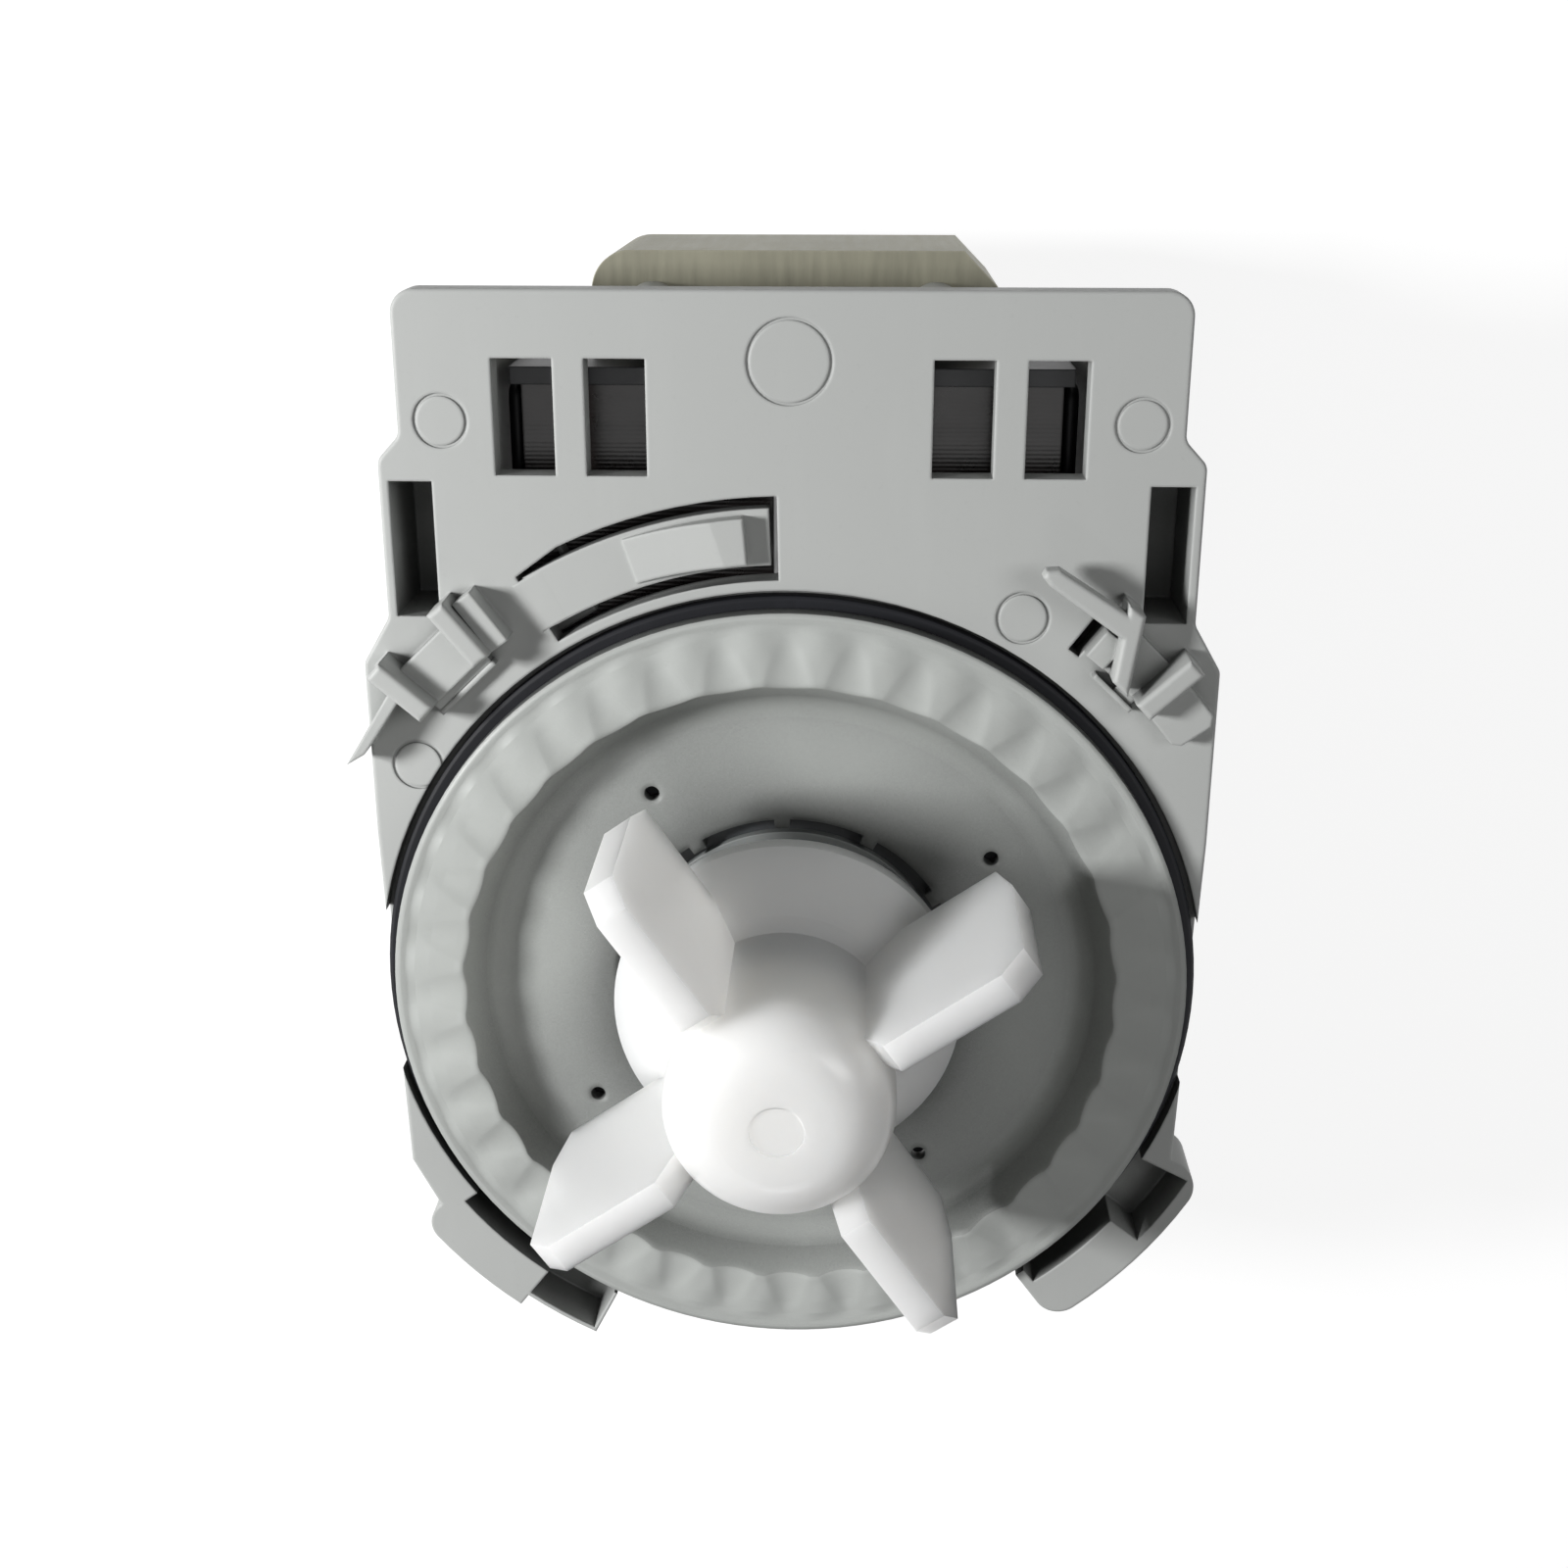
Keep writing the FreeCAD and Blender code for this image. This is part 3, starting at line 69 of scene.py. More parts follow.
class Finish:
    """A node material that is built up step by step."""

    def __init__(self, name, colour, rough, metal=0.0):
        self.material = bpy.data.materials.new(name)
        self.material.use_nodes = True
        self.tree = self.material.node_tree
        self.shader = self.tree.nodes["Principled BSDF"]
        self.rough = rough
        self.material.diffuse_color = colour
        self.put("Base Color", colour)
        self.put("Roughness", rough)
        self.put("Metallic", metal)
        self.where = self.node("ShaderNodeTexCoord").outputs["Object"]
        self.height = None
        self.bevel = None

    def node(self, kind, **settings):
        made = self.tree.nodes.new(kind)
        for key, setting in settings.items():
            setattr(made, key, setting)
        return made

    def join(self, out, socket):
        self.tree.links.new(out, socket)

    def put(self, socket, amount):
        self.shader.inputs[socket].default_value = amount

    def fill(self, socket, source):
        if isinstance(source, bpy.types.NodeSocket):
            self.join(source, socket)
        else:
            socket.default_value = source

    def math(self, kind, first, second=0.5):
        made = self.node("ShaderNodeMath", operation=kind)
        self.fill(made.inputs[0], first)
        self.fill(made.inputs[1], second)
        return made.outputs[0]

    def ramp(self, source, low, high, start=0.0, end=1.0):
        """source from low to high becomes start to end, and stops there."""
        made = self.node("ShaderNodeMapRange")
        self.join(source, made.inputs["Value"])
        made.inputs["From Min"].default_value = low
        made.inputs["From Max"].default_value = high
        made.inputs["To Min"].default_value = start
        made.inputs["To Max"].default_value = end
        return made.outputs["Result"]

    def noise(self, per_metre, detail=3.0, rough=0.5, scale=(1, 1, 1)):
        """Clouds, 0 to 1, about so many per metre; scale draws them out along the axes."""
        drawn = self.node("ShaderNodeMapping")
        drawn.inputs["Scale"].default_value = scale
        self.join(self.where, drawn.inputs["Vector"])
        made = self.node("ShaderNodeTexNoise")
        self.join(drawn.outputs["Vector"], made.inputs["Vector"])
        made.inputs["Scale"].default_value = per_metre
        made.inputs["Detail"].default_value = detail
        made.inputs["Roughness"].default_value = rough
        return made.outputs["Fac"]

    def axis(self, letter):
        made = self.node("ShaderNodeSeparateXYZ")
        self.join(self.where, made.inputs["Vector"])
        return made.outputs[letter]

    def lines(self, letter, pitch):
        """0 to 1 and back along one axis, once in each pitch."""
        turns = self.math("MULTIPLY", self.axis(letter), 2 * math.pi / (pitch * MM))
        return self.ramp(self.math("SINE", turns), -1, 1)

    def blend(self, factor, other):
        """Colour goes towards other where factor is 1."""
        made = self.node("ShaderNodeMix", data_type="RGBA")
        self.fill(made.inputs["Factor"], factor)
        base = self.shader.inputs["Base Color"]
        source = base.links[0].from_socket if base.is_linked else tuple(base.default_value)
        self.fill(made.inputs["A"], source)
        self.fill(made.inputs["B"], other)
        self.join(made.outputs["Result"], base)

    def tint(self, source, low, high, share, other):
        """Colour goes towards other, by share at most, as source runs from low to high."""
        self.blend(self.ramp(source, low, high, 0, share), other)

    def vary_rough(self, source, amount):
        """Roughness swings by amount about its level with source, 0 to 1."""
        swing = self.math("MULTIPLY", self.math("SUBTRACT", source, 0.5), 2 * amount)
        level = self.shader.inputs["Roughness"]
        base = level.links[0].from_socket if level.is_linked else self.rough
        self.join(self.math("ADD", swing, base), level)

    def relief(self, source, depth):
        """Adds source times depth to the height of the surface."""
        step = self.math("MULTIPLY", source, depth * MM)
        self.height = step if self.height is None else self.math("ADD", self.height, step)

    def rounding(self, radius):
        made = self.node("ShaderNodeBevel", samples=EDGE_SAMPLES)
        made.inputs["Radius"].default_value = radius * MM
        return made

    def soften(self, radius):
        """Rounds edges by radius, for the light only."""
        self.bevel = self.rounding(radius)

    def wear_and_highlight_edges(self, share, other):
        """Colour goes towards other by share at outer and inner edges: partly wear, partly a
        painted highlight.
        """
        wide = self.rounding(WEAR_AND_HIGHLIGHT_WIDTH)
        geometry = self.node("ShaderNodeNewGeometry")
        turn = self.node("ShaderNodeVectorMath", operation="DOT_PRODUCT")
        self.join(wide.outputs["Normal"], turn.inputs[0])
        self.join(geometry.outputs["Normal"], turn.inputs[1])
        flat, turned = 0.97, 0.75
        edge = self.ramp(turn.outputs["Value"], flat, turned)
        self.blend(self.math("MULTIPLY", edge, share), other)

    def paint_recess_shade(self, share, other, reach, shallow=0.62, deep=0.22):
        """Painted shade: colour goes towards other by share inside recesses that are about reach
        wide, where shade falls.
        """
        shut = self.node("ShaderNodeAmbientOcclusion", samples=RECESS_SAMPLES)
        shut.inputs["Distance"].default_value = reach * MM
        recess = self.ramp(shut.outputs["AO"], shallow, deep)
        self.blend(self.math("MULTIPLY", recess, share), other)

    def done(self):
        normal = self.shader.inputs["Normal"]
        if self.height is not None:
            bump = self.node("ShaderNodeBump")
            bump.inputs["Strength"].default_value = 1.0
            bump.inputs["Distance"].default_value = 1.0
            self.join(self.height, bump.inputs["Height"])
            self.join(bump.outputs["Normal"], normal)
            normal = bump.inputs["Normal"]
        if self.bevel is not None:
            self.join(self.bevel.outputs["Normal"], normal)
        return self.material


def moulded(name, colour, rough, grain=0.004, streak=0.05, edge_wear_and_highlight=0.35, radius=0.25, recess_shade=0.0):
    """Moulded plastic: cloudy colour, flow streaks, fine grain, edges paler partly from wear and
    partly by a painted highlight, and painted shade in recesses.
    """
    made = Finish(name, colour, rough)
    cloud = made.noise(per_metre=45, detail=4, rough=0.55)
    made.tint(cloud, 0.3, 0.7, streak * 2, scaled(colour, 0.8))
    flow = made.noise(per_metre=60, detail=5, rough=0.6, scale=(3.2, 0.5, 1))
    made.tint(flow, 0.52, 0.72, streak * 2.4, scaled(colour, 1.18))
    speck = made.noise(per_metre=1400, detail=2, rough=0.6)
    made.tint(speck, 0.62, 0.8, 0.1, scaled(colour, 0.62))
    # Paler edges: partly wear, partly a painted highlight.
    made.wear_and_highlight_edges(edge_wear_and_highlight, scaled(colour, 1.35))
    # Painted shade: recesses darken where shade falls.
    made.paint_recess_shade(recess_shade, scaled(colour, 0.16), reach=7)
    made.vary_rough(cloud, 0.09)
    made.vary_rough(speck, 0.05)
    made.relief(made.noise(per_metre=2600, detail=2, rough=0.6), grain)
    made.relief(made.noise(per_metre=240, detail=3, rough=0.5), grain * 2.2)
    made.soften(radius)
    return made


def rubber(name, colour, rough):
    """Dull rubber with pale dust."""
    made = Finish(name, colour, rough)
    dust = made.noise(per_metre=160, detail=5, rough=0.65)
    made.tint(dust, 0.5, 0.75, 0.35, scaled(colour, 2.6))
    # Paler edges: partly wear, partly a painted highlight.
    made.wear_and_highlight_edges(0.3, scaled(colour, 2.2))
    made.vary_rough(dust, 0.12)
    made.put("Specular IOR Level", 0.22)
    made.relief(made.noise(per_metre=3200, detail=2, rough=0.6), 0.004)
    made.soften(0.2)
    return made


def metal(name, colour, rough, brushed=(1, 1, 1)):
    """Bare metal with tarnish in patches and fine hairs, drawn out by brushed."""
    made = Finish(name, colour, rough, metal=1.0)
    patch = made.noise(per_metre=120, detail=5, rough=0.6)
    made.tint(patch, 0.45, 0.75, 0.3, scaled(colour, 0.55))
    hair = made.noise(per_metre=700, detail=3, rough=0.6, scale=brushed)
    made.tint(hair, 0.4, 0.7, 0.25, scaled(colour, 1.25))
    # Paler edges: partly wear, partly a painted highlight.
    made.wear_and_highlight_edges(0.4, scaled(colour, 1.4))
    made.vary_rough(hair, 0.1)
    made.vary_rough(patch, 0.08)
    made.relief(hair, 0.003)
    made.soften(0.15)
    return made


def laminated(name, colour, pitch):
    """Stacked sheets: a line for each sheet on the cut sides, brushed and slightly oily."""
    made = Finish(name, colour, 0.46, metal=0.55)
    patch = made.noise(per_metre=90, detail=5, rough=0.6)
    made.tint(patch, 0.4, 0.75, 0.4, scaled(colour, 0.6))
    hair = made.noise(per_metre=420, detail=3, rough=0.6, scale=(3, 0.25, 0.25))
    made.tint(hair, 0.35, 0.7, 0.35, scaled(colour, 1.3))
    rust = made.noise(per_metre=260, detail=6, rough=0.7)
    made.tint(rust, 0.62, 0.78, 0.35, shade(112, 84, 58))
    geometry = made.node("ShaderNodeNewGeometry")
    facing = made.node("ShaderNodeSeparateXYZ")
    made.join(geometry.outputs["True Normal"], facing.inputs["Vector"])
    side = made.ramp(made.math("ABSOLUTE", facing.outputs["Z"]), 0.9, 0.5)
    thin_line = made.math("POWER", made.lines("Z", pitch), 6.0)
    seam = made.math("MULTIPLY", thin_line, side)
    made.blend(made.math("MULTIPLY", seam, 0.55), scaled(colour, 0.3))
    # Paler edges: partly wear, partly a painted highlight.
    made.wear_and_highlight_edges(0.35, scaled(colour, 1.6))
    made.vary_rough(hair, 0.12)
    made.relief(hair, 0.004)
    made.relief(seam, -0.05)
    made.soften(0.15)
    return made


def wound(name, colour, letter, pitch):
    """Enamelled wire laid turn by turn."""
    made = Finish(name, colour, 0.28, metal=0.85)
    turn = made.lines(letter, pitch)
    made.tint(turn, 0.45, 0.0, 0.7, scaled(colour, 0.3))
    made.tint(made.noise(per_metre=220), 0.4, 0.7, 0.3, scaled(colour, 0.65))
    made.relief(turn, 0.12)
    return made


def taped(name, colour, letter, pitch):
    """Insulating tape in turns that overlap, with the wire showing as low ridges."""
    wire = 0.4
    made = Finish(name, colour, 0.3)
    turn = made.lines(letter, pitch)
    made.tint(turn, 0.16, 0.0, 0.6, scaled(colour, 0.45))
    crease = made.noise(per_metre=320, detail=5, rough=0.65)
    made.tint(crease, 0.5, 0.72, 0.35, scaled(colour, 0.6))
    made.vary_rough(crease, 0.14)
    made.relief(made.ramp(turn, 0.0, 0.2), 0.05)
    made.relief(made.lines(letter, wire), 0.012)
    made.relief(crease, 0.06)
    made.put("Coat Weight", 0.25)
    made.put("Coat Roughness", 0.2)
    made.soften(0.3)
    return made


def milky(name, colour):
    """Glossy white plastic that lets a little light through."""
    made = Finish(name, colour, 0.3)
    cloud = made.noise(per_metre=60)
    made.tint(cloud, 0.35, 0.7, 0.25, shade(240, 240, 237))
    # Paler edges: partly wear, partly a painted highlight.
    made.wear_and_highlight_edges(0.25, shade(250, 250, 248))
    made.vary_rough(made.noise(per_metre=900), 0.03)
    made.relief(made.noise(per_metre=1600, detail=2), 0.0003)
    made.put("Subsurface Weight", 1.0)
    made.put("Subsurface Radius", (1.0, 0.97, 0.94))
    made.put("Subsurface Scale", 12.0 * MM)
    made.put("Specular IOR Level", 0.55)
    made.put("Coat Weight", 0.15)
    made.put("Coat Roughness", 0.12)
    return made


def fluted(name, colour):
    """The chamber's plastic: its bowl is darkened by painted shade, and its flutes run out softly
    to the rim.
    """
    flutes, flute_deep = 36, 0.16
    flute_start, flute_full, flute_fades, flute_end = 33, 35.5, 37, 38
    # Painted shade: the plastic darkens in its recesses, and the deep bowl darkens much more,
    # where shade falls inside it.
    made = moulded(name, colour, 0.36, grain=0.0012, edge_wear_and_highlight=0.15, radius=1.1, recess_shade=0.6)
    made.paint_recess_shade(0.9, scaled(colour, 0.2), reach=16, shallow=0.93, deep=0.64)
    across = made.axis("X")
    along = made.axis("Y")
    turn = made.math("ARCTAN2", along, across)
    wave = made.math("COSINE", made.math("MULTIPLY", turn, flutes))
    across_square = made.math("MULTIPLY", across, across)
    along_square = made.math("MULTIPLY", along, along)
    radius = made.math("SQRT", made.math("ADD", across_square, along_square))
    starts = made.ramp(radius, flute_start * MM, flute_full * MM)
    ends = made.ramp(radius, flute_end * MM, flute_fades * MM)
    band = made.math("MULTIPLY", starts, ends)
    made.relief(made.math("MULTIPLY", wave, band), -flute_deep)
    return made


# The plate gets painted shade in its recesses.
plate_grey = moulded(
    "plate_grey", shade(182, 184, 182), 0.5, grain=0.003, radius=0.4, recess_shade=0.9
).done()
flange_grey = fluted("flange_grey", shade(178, 181, 178)).done()
holder_grey = moulded("holder_grey", shade(128, 131, 130), 0.5).done()
wheel_white = milky("impeller_white", shade(246, 245, 242)).done()
dog_white = moulded("dog_white", shade(222, 221, 216), 0.4, grain=0.002).done()
gasket_black = rubber("gasket_black", shade(22, 23, 27), 0.55).done()
seat_black = rubber("seat_black", shade(28, 28, 30), 0.6).done()
can_natural = moulded("can_natural", shade(198, 196, 186), 0.42, grain=0.002).done()
can_dark = moulded("can_dark", shade(58, 60, 62), 0.45, grain=0.003, streak=0.08).done()
bush_grey = moulded("bush_grey", shade(52, 52, 55), 0.35, streak=0.08).done()
shaft_bright = metal("shaft_bright", shade(196, 198, 200), 0.18, brushed=(1, 1, 14)).done()
core_olive = laminated("core_olive", shade(140, 138, 122), pitch=0.5).done()
screw_zinc = metal("screw_zinc", shade(176, 176, 170), 0.34).done()
magnet_dark = moulded("magnet_dark", shade(58, 57, 58), 0.4, grain=0.006, streak=0.1).done()
bobbin_black = moulded("bobbin_black", shade(31, 32, 34), 0.5, streak=0.1).done()
wire_copper = wound("wire_copper", shade(176, 96, 52), "Y", pitch=0.35).done()
tape_dark = taped("tape_dark", shade(33, 29, 28), "Y", pitch=6.2).done()
sleeve_black = rubber("sleeve_black", shade(26, 26, 28), 0.45).done()
tab_brass = metal("tab_brass", shade(198, 188, 150), 0.26, brushed=(1, 1, 8)).done()

FINISHES = {
    "mounting_plate": plate_grey,
    "lock_tongue": plate_grey,
    "chamber_flange": flange_grey,
    "bearing_holder": holder_grey,
    "ring_gasket": gasket_black,
    "can_seal": seat_black,
    "front_bush_seat": seat_black,
    "rear_bush_seat": seat_black,
    "stop_buffers": seat_black,
    "rotor_can": can_dark,
    "rotor_sleeve": can_natural,
    "front_bush": bush_grey,
    "rear_bush": bush_grey,
    "rotor_shaft": shaft_bright,
    "thrust_washers": can_natural,
    "rotor_magnet": magnet_dark,
    "drive_dog": dog_white,
    "impeller": wheel_white,
    "impeller_cover": wheel_white,
    "pole_core": core_olive,
    "yoke_core": core_olive,
    "core_rivets": screw_zinc,
    "core_screws": screw_zinc,
    "yoke_screws": screw_zinc,
    "bobbin_right": bobbin_black,
    "bobbin_left": bobbin_black,
    "winding_right": wire_copper,
    "winding_left": wire_copper,
    "coil_wrap_right": tape_dark,
    "coil_wrap_left": tape_dark,
    "terminal_block": bobbin_black,
    "terminal_tabs": tab_brass,
}

for name, piece in nodes.items():
    piece.data.materials.clear()
    piece.data.materials.append(FINISHES[name])


def round_edges(piece, width, sharp, segments=4):
    """Rounds the edges of a piece that turn by more than sharp degrees."""
    bevel = piece.modifiers.new("round_edges", "BEVEL")
    bevel.width = width * MM
    bevel.segments = segments
    bevel.limit_method = "ANGLE"
    bevel.angle_limit = math.radians(sharp)
    piece.modifiers.new("even_normals", "WEIGHTED_NORMAL")


round_edges(nodes["impeller"], width=0.9, sharp=35)


def new_piece(name, mesh, finish, body):
    """Turns a bmesh in metres into a piece that rides on a body."""
    data = bpy.data.meshes.new(name)
    bmesh.ops.recalc_face_normals(mesh, faces=mesh.faces)
    mesh.to_mesh(data)
    mesh.free()
    piece = bpy.data.objects.new(name, data)
    bpy.context.scene.collection.objects.link(piece)
    data.materials.append(finish)
    if body is not None:
        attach(piece, body)
    return piece


def at(radius, angle, height):
    """A point in metres by its distance from the axis, its angle in degrees and its height."""
    turn = math.radians(angle)
    return Vector((radius * math.cos(turn), radius * math.sin(turn), height)) * MM


def side_faces(mesh, first, second):
    """Joins two closed loops of as many points by a wall."""
    for side, point in enumerate(first):
        other = (side + 1) % len(first)
        mesh.faces.new((point, first[other], second[other], second[side]))


def make_tongue_web():
    """The tongue is one moulding with the plate: this web closes the top of its root.
    Its two ends sink under the faces that they meet."""
    inner, outer = 43.05, 48.2
    top, thick = 0.006, 0.7
    start, end = 117.6, 123.2
    ramp, fall = 1.2, 0.025
    steps, across = 28, 6
    mesh = bmesh.new()
    layers = []
    for height in (top, top - thick):
        rows = []
        for step in range(steps + 1):
            angle = start + (end - start) * step / steps
            sunk = max(start + ramp - angle, angle - end + ramp, 0) * fall
            row = [
                mesh.verts.new(at(inner + (outer - inner) * place / across, angle, height - sunk))
                for place in range(across + 1)
            ]
            rows.append(row)
        layers.append(rows)
    for rows in layers:
        for step in range(steps):
            for place in range(across):
                corners = (rows[step][place], rows[step + 1][place])
                others = (rows[step + 1][place + 1], rows[step][place + 1])
                mesh.faces.new(corners + others)
    upper, lower = layers
    for step in range(steps):
        for side in (0, across):
            rim = (upper[step][side], upper[step + 1][side])
            foot = (lower[step + 1][side], lower[step][side])
            mesh.faces.new(rim + foot)
    for step in (0, steps):
        for place in range(across):
            rim = (upper[step][place], upper[step][place + 1])
            foot = (lower[step][place + 1], lower[step][place])
            mesh.faces.new(rim + foot)
    web = new_piece("tongue_web", mesh, plate_grey, None)
    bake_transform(web)


make_tongue_web()


def tube_along(points, radius, sides=14):
    """A round tube through points, closed at both ends."""
    mesh = bmesh.new()
    rings = []
    for index, point in enumerate(points):
        before = points[max(index - 1, 0)]
        after = points[min(index + 1, len(points) - 1)]
        ahead = (Vector(after) - Vector(before)).to_track_quat("Z", "Y")
        ring = []
        for side in range(sides):
            turn = 2 * math.pi * side / sides
            offset = Vector((radius * math.cos(turn), radius * math.sin(turn), 0))
            ring.append(mesh.verts.new((Vector(point) + ahead @ offset) * MM))
        rings.append(ring)
    for first, second in zip(rings, rings[1:]):
        side_faces(mesh, first, second)
    mesh.faces.new(rings[0])
    mesh.faces.new(rings[-1])
    for face in mesh.faces:
        face.smooth = True
    return mesh


def bent_path(corners, radius, steps=6):
    """Points along a line through corners, with each inner corner rounded."""
    path = [Vector(corners[0])]
    for before, corner, after in zip(corners, corners[1:], corners[2:]):
        corner = Vector(corner)
        start = corner + (Vector(before) - corner).normalized() * radius
        end = corner + (Vector(after) - corner).normalized() * radius
        for step in range(steps + 1):
            share = step / steps
            path.append(start.lerp(corner, share).lerp(corner.lerp(end, share), share))
    path.append(Vector(corners[-1]))
    return path


def arc_corners(inner, outer, start, end, steps=6):
    """Corners round a piece of a ring, from start to end in degrees."""
    turns = [start + (end - start) * step / steps for step in range(steps + 1)]
    points = [at(inner, turn, 0) / MM for turn in turns]
    points += [at(outer, turn, 0) / MM for turn in reversed(turns)]
    return [(point.x, point.y) for point in points]


def make_block(name, corners, low, high, finish):
    """An upright block: corners run round its outline."""
    mesh = bmesh.new()
    bottom, top = [
        [mesh.verts.new(Vector((x, y, level)) * MM) for x, y in corners] for level in (low, high)
    ]
    side_faces(mesh, bottom, top)
    mesh.faces.new(bottom)
    mesh.faces.new(top)
    new_piece(name, mesh, finish, "stator")


def make_cup(name, corners, top, floor, wall):
    """A cup behind the plate: corners run round its mouth."""
    mesh = bmesh.new()
    middle = sum((Vector(corner) for corner in corners), Vector((0, 0))) / len(corners)
    loops = []
    for grow, height in ((0, floor), (0, top), (wall, top), (wall, floor - wall)):
        loop = []
        for corner in corners:
            away = Vector(corner) - middle
            spot = Vector(corner) + away.normalized() * grow
            loop.append(mesh.verts.new(Vector((spot.x, spot.y, height)) * MM))
        loops.append(loop)
    for first, second in zip(loops, loops[1:]):
        side_faces(mesh, first, second)
    mesh.faces.new(loops[0])
    mesh.faces.new(loops[-1])
    new_piece(name, mesh, plate_grey, "stator")


def make_comb_steps():
    """Low steps join the guide combs to their lips."""
    inner, outer, foot = 43.7, 44.7, -0.2
    for side, start, end, top in (("left", 129.4, 138.6, 1.15), ("right", 43.6, 46.4, 0.86)):
        corners = arc_corners(inner, outer, start, end)
        make_block(side + "_comb_step", corners, foot, top, plate_grey)


def make_drain_shade_discs():
    """Painted shade: dark discs close the four drains from behind, so the holes show dark as if
    in shade.
    """
    drains, circle, first_turn = 4, 23.83, 34.2
    radius, back, thick, corner_turn = 0.72, -3.5, 0.1, 30
    for index in range(drains):
        middle = at(circle, first_turn + 360 / drains * index, 0) / MM
        corners = []
        for degrees in range(0, 360, corner_turn):
            spot = middle + at(radius, degrees, 0) / MM
            corners.append((spot.x, spot.y))
        name = "drain_shade_disc_%d" % (index + 1)
        make_block(name, corners, back - thick, back, seat_black)


def make_cups():
    """Cups close the comb's slot and the tongue's root from behind."""
    top, floor, wall = -2.98, -5.5, 0.8
    make_cup("comb_cup", arc_corners(43.2, 48.2, 51.0, 54.6), top, floor, wall)
    make_cup("root_cup", arc_corners(42.6, 50.2, 116.6, 124.0), top, floor, wall)


def make_lead_sleeves():
    """Each coil's lead leaves the tape in a sleeve, runs beside the coil and back to the
    terminals."""
    coil_side, clear_side, tab_side = 24.6, 25.85, 12.6
    tape_edge, flange, end = 42.5, 45.0, 57.8
    front, back, tab_back = -8, -41.4, -42.2
    for name, side in (("right", 1), ("left", -1)):
        corners = [
            (side * coil_side, tape_edge, front),
            (side * clear_side, flange, front),
            (side * clear_side, end, front),
            (side * clear_side, end, back),
            (side * tab_side, end, tab_back),
        ]
        mesh = tube_along(bent_path(corners, radius=1.2), radius=0.75)
        new_piece("lead_sleeve_" + name, mesh, sleeve_black, "stator")


make_comb_steps()
make_drain_shade_discs()
make_cups()
make_lead_sleeves()

# The camera stands where the photograph was taken from.
CAMERA_PLACE = (6.33831, 84.58107, 172.65467)
CAMERA_AHEAD = (-0.03694, -0.34239, -0.93883)
CAMERA_UP = (-0.01348, 0.93956, -0.34213)
SENSOR, LENS = 36, 44.144
NEAREST, FARTHEST = 5, 10000


def set_camera():
    data = bpy.data.cameras.new("camera")
    data.sensor_width = SENSOR
    data.lens = LENS
    data.clip_start = NEAREST * MM
    data.clip_end = FARTHEST * MM
    camera = bpy.data.objects.new("camera", data)
    bpy.context.scene.collection.objects.link(camera)
    ahead = Vector(CAMERA_AHEAD).normalized()
    right = ahead.cross(Vector(CAMERA_UP)).normalized()
    turn = Matrix((right, right.cross(ahead), -ahead)).transposed()
    camera.matrix_world = Matrix.Translation(Vector(CAMERA_PLACE) * MM) @ turn.to_4x4()
    bpy.context.scene.camera = camera


def add_lamp(name, place, aim, width, height, power):
    """A rectangular lamp at place that shines towards aim, with its power in watts."""
    data = bpy.data.lights.new(name, "AREA")
    data.shape = "RECTANGLE"
    data.size = width * MM
    data.size_y = height * MM
    data.energy = power
    lamp = bpy.data.objects.new(name, data)
    bpy.context.scene.collection.objects.link(lamp)
    lamp.location = Vector(place) * MM
    lamp.rotation_euler = (Vector(aim) - Vector(place)).to_track_quat("-Z", "Y").to_euler()


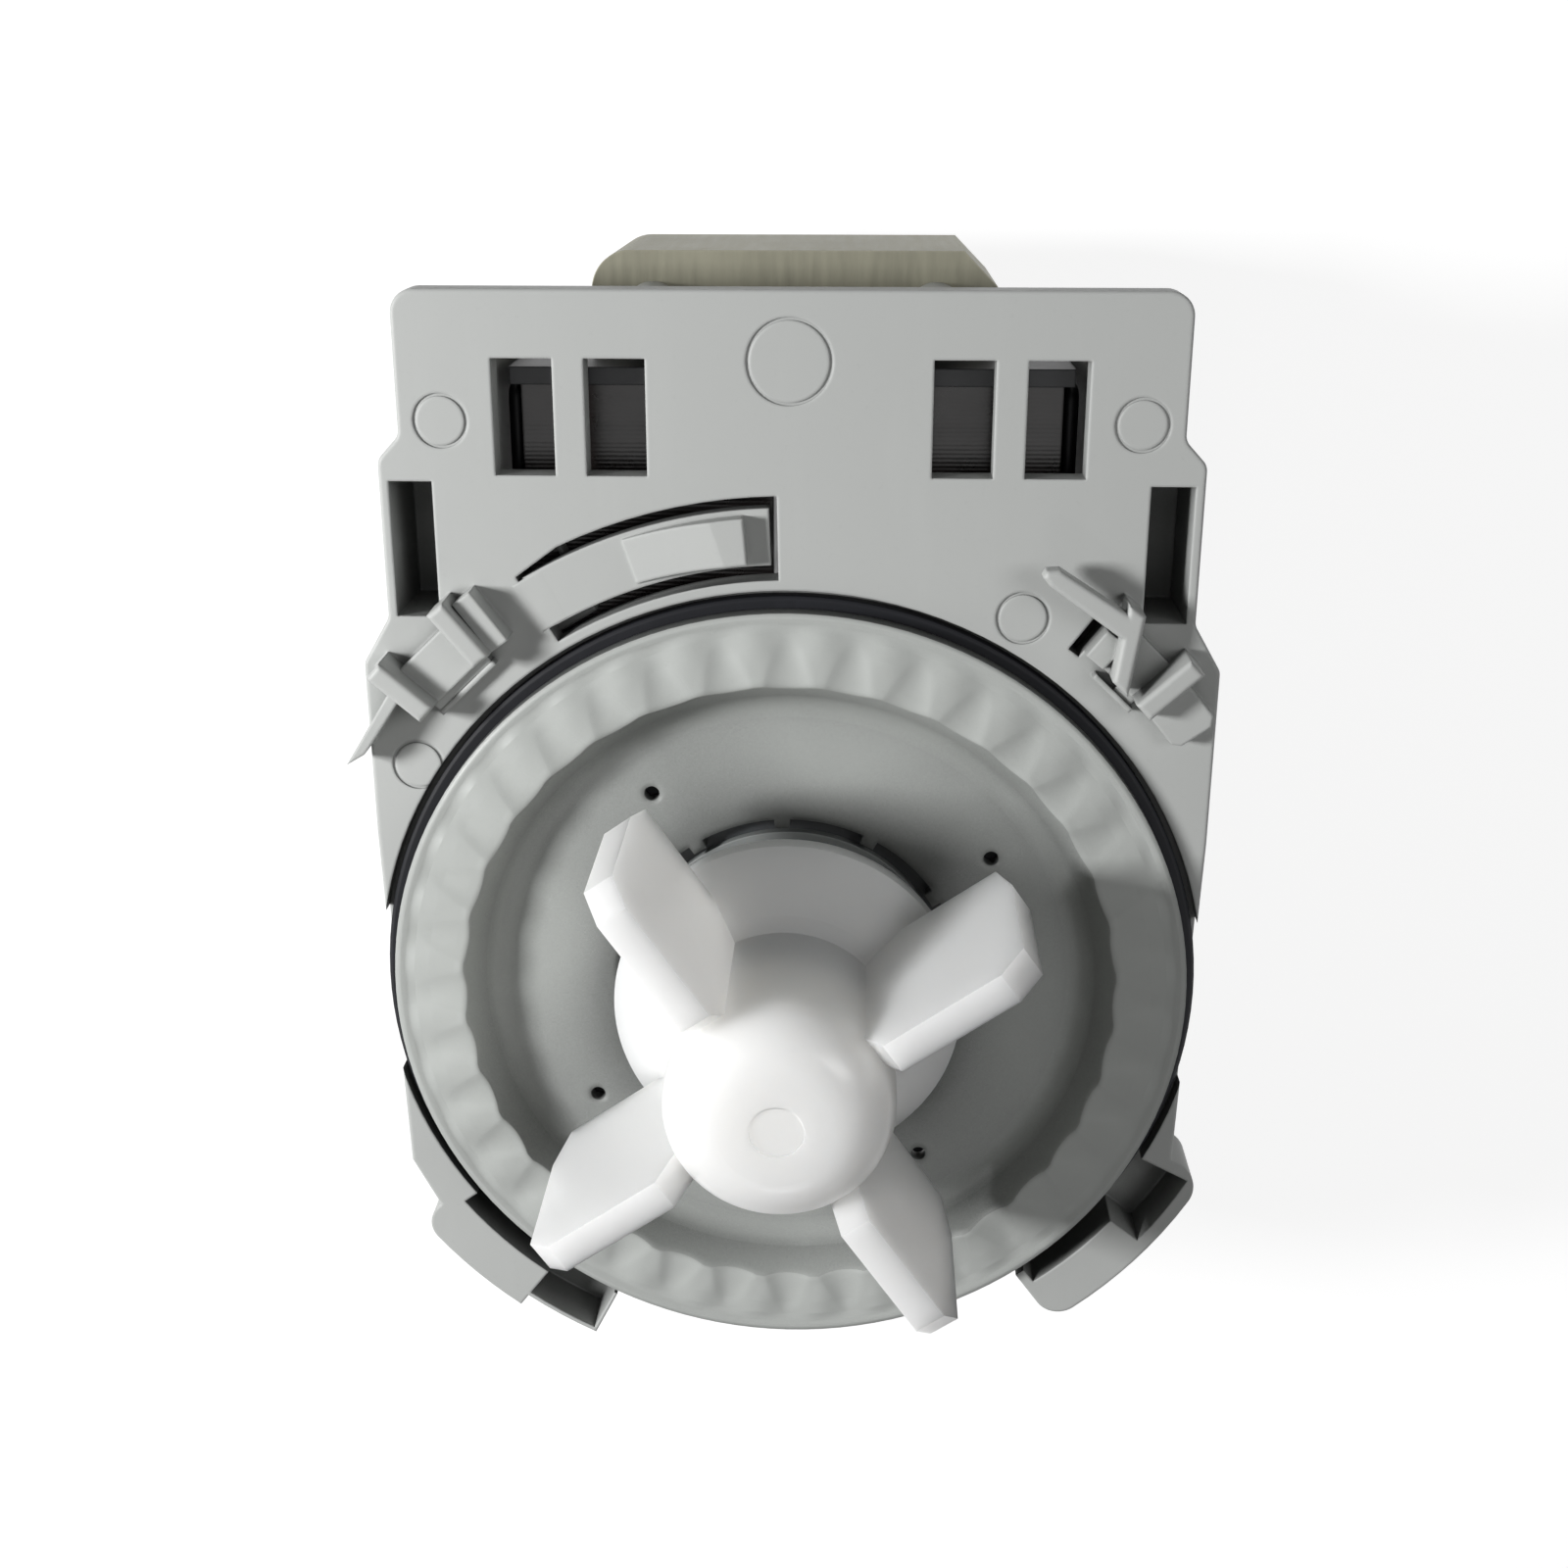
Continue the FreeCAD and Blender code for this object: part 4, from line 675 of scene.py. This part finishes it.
def seen_factor(tree):
    """1 for rays from the camera, mirrors and glass, and 0 for those that light things."""
    path = tree.nodes.new("ShaderNodeLightPath")
    total = path.outputs["Is Camera Ray"]
    for ray in ("Is Glossy Ray", "Is Transmission Ray"):
        add = tree.nodes.new("ShaderNodeMath")
        add.operation = "MAXIMUM"
        tree.links.new(total, add.inputs[0])
        tree.links.new(path.outputs[ray], add.inputs[1])
        total = add.outputs[0]
    return total


def set_world(fill):
    """A white room that shows as white and lights things by fill."""
    world = bpy.data.worlds.new("white_room")
    world.use_nodes = True
    tree = world.node_tree
    background = tree.nodes["Background"]
    background.inputs["Color"].default_value = (1, 1, 1, 1)
    level = tree.nodes.new("ShaderNodeMapRange")
    level.inputs["To Min"].default_value = fill
    level.inputs["To Max"].default_value = 1.0
    tree.links.new(seen_factor(tree), level.inputs["Value"])
    tree.links.new(level.outputs["Result"], background.inputs["Strength"])
    bpy.context.scene.world = world


def add_floor(height, grey, glow, half_width=3000):
    """White floor: a part of its white is its own grey, which takes the shadow, and the rest
    is a glow that shows only to the eye."""
    mesh = bmesh.new()
    bmesh.ops.create_grid(mesh, x_segments=1, y_segments=1, size=half_width * MM)
    data = bpy.data.meshes.new("floor")
    mesh.to_mesh(data)
    mesh.free()
    floor = bpy.data.objects.new("floor", data)
    floor.location = (0, 0, height * MM)
    bpy.context.scene.collection.objects.link(floor)
    material = bpy.data.materials.new("floor_white")
    material.use_nodes = True
    tree = material.node_tree
    shader = tree.nodes["Principled BSDF"]
    shader.inputs["Base Color"].default_value = (grey, grey, grey, 1)
    shader.inputs["Roughness"].default_value = 0.9
    shader.inputs["Specular IOR Level"].default_value = 0.1
    shader.inputs["Emission Color"].default_value = (1, 1, 1, 1)
    level = tree.nodes.new("ShaderNodeMath")
    level.operation = "MULTIPLY"
    level.inputs[1].default_value = glow
    tree.links.new(seen_factor(tree), level.inputs[0])
    tree.links.new(level.outputs[0], shader.inputs["Emission Strength"])
    data.materials.append(material)


set_camera()
set_world(fill=0.02)
add_floor(height=-48.2, grey=0.28, glow=0.86)
add_lamp("key", (-325, 80, 235), (0, 10, 0), width=80, height=80, power=2.0)
add_lamp("right_fill", (260, 120, 300), (0, 0, 0), width=160, height=160, power=0.32)
add_lamp("low_front", (-10, -300, 330), (0, -20, 0), width=60, height=30, power=0.06)

bpy.context.scene.view_settings.view_transform = "Standard"
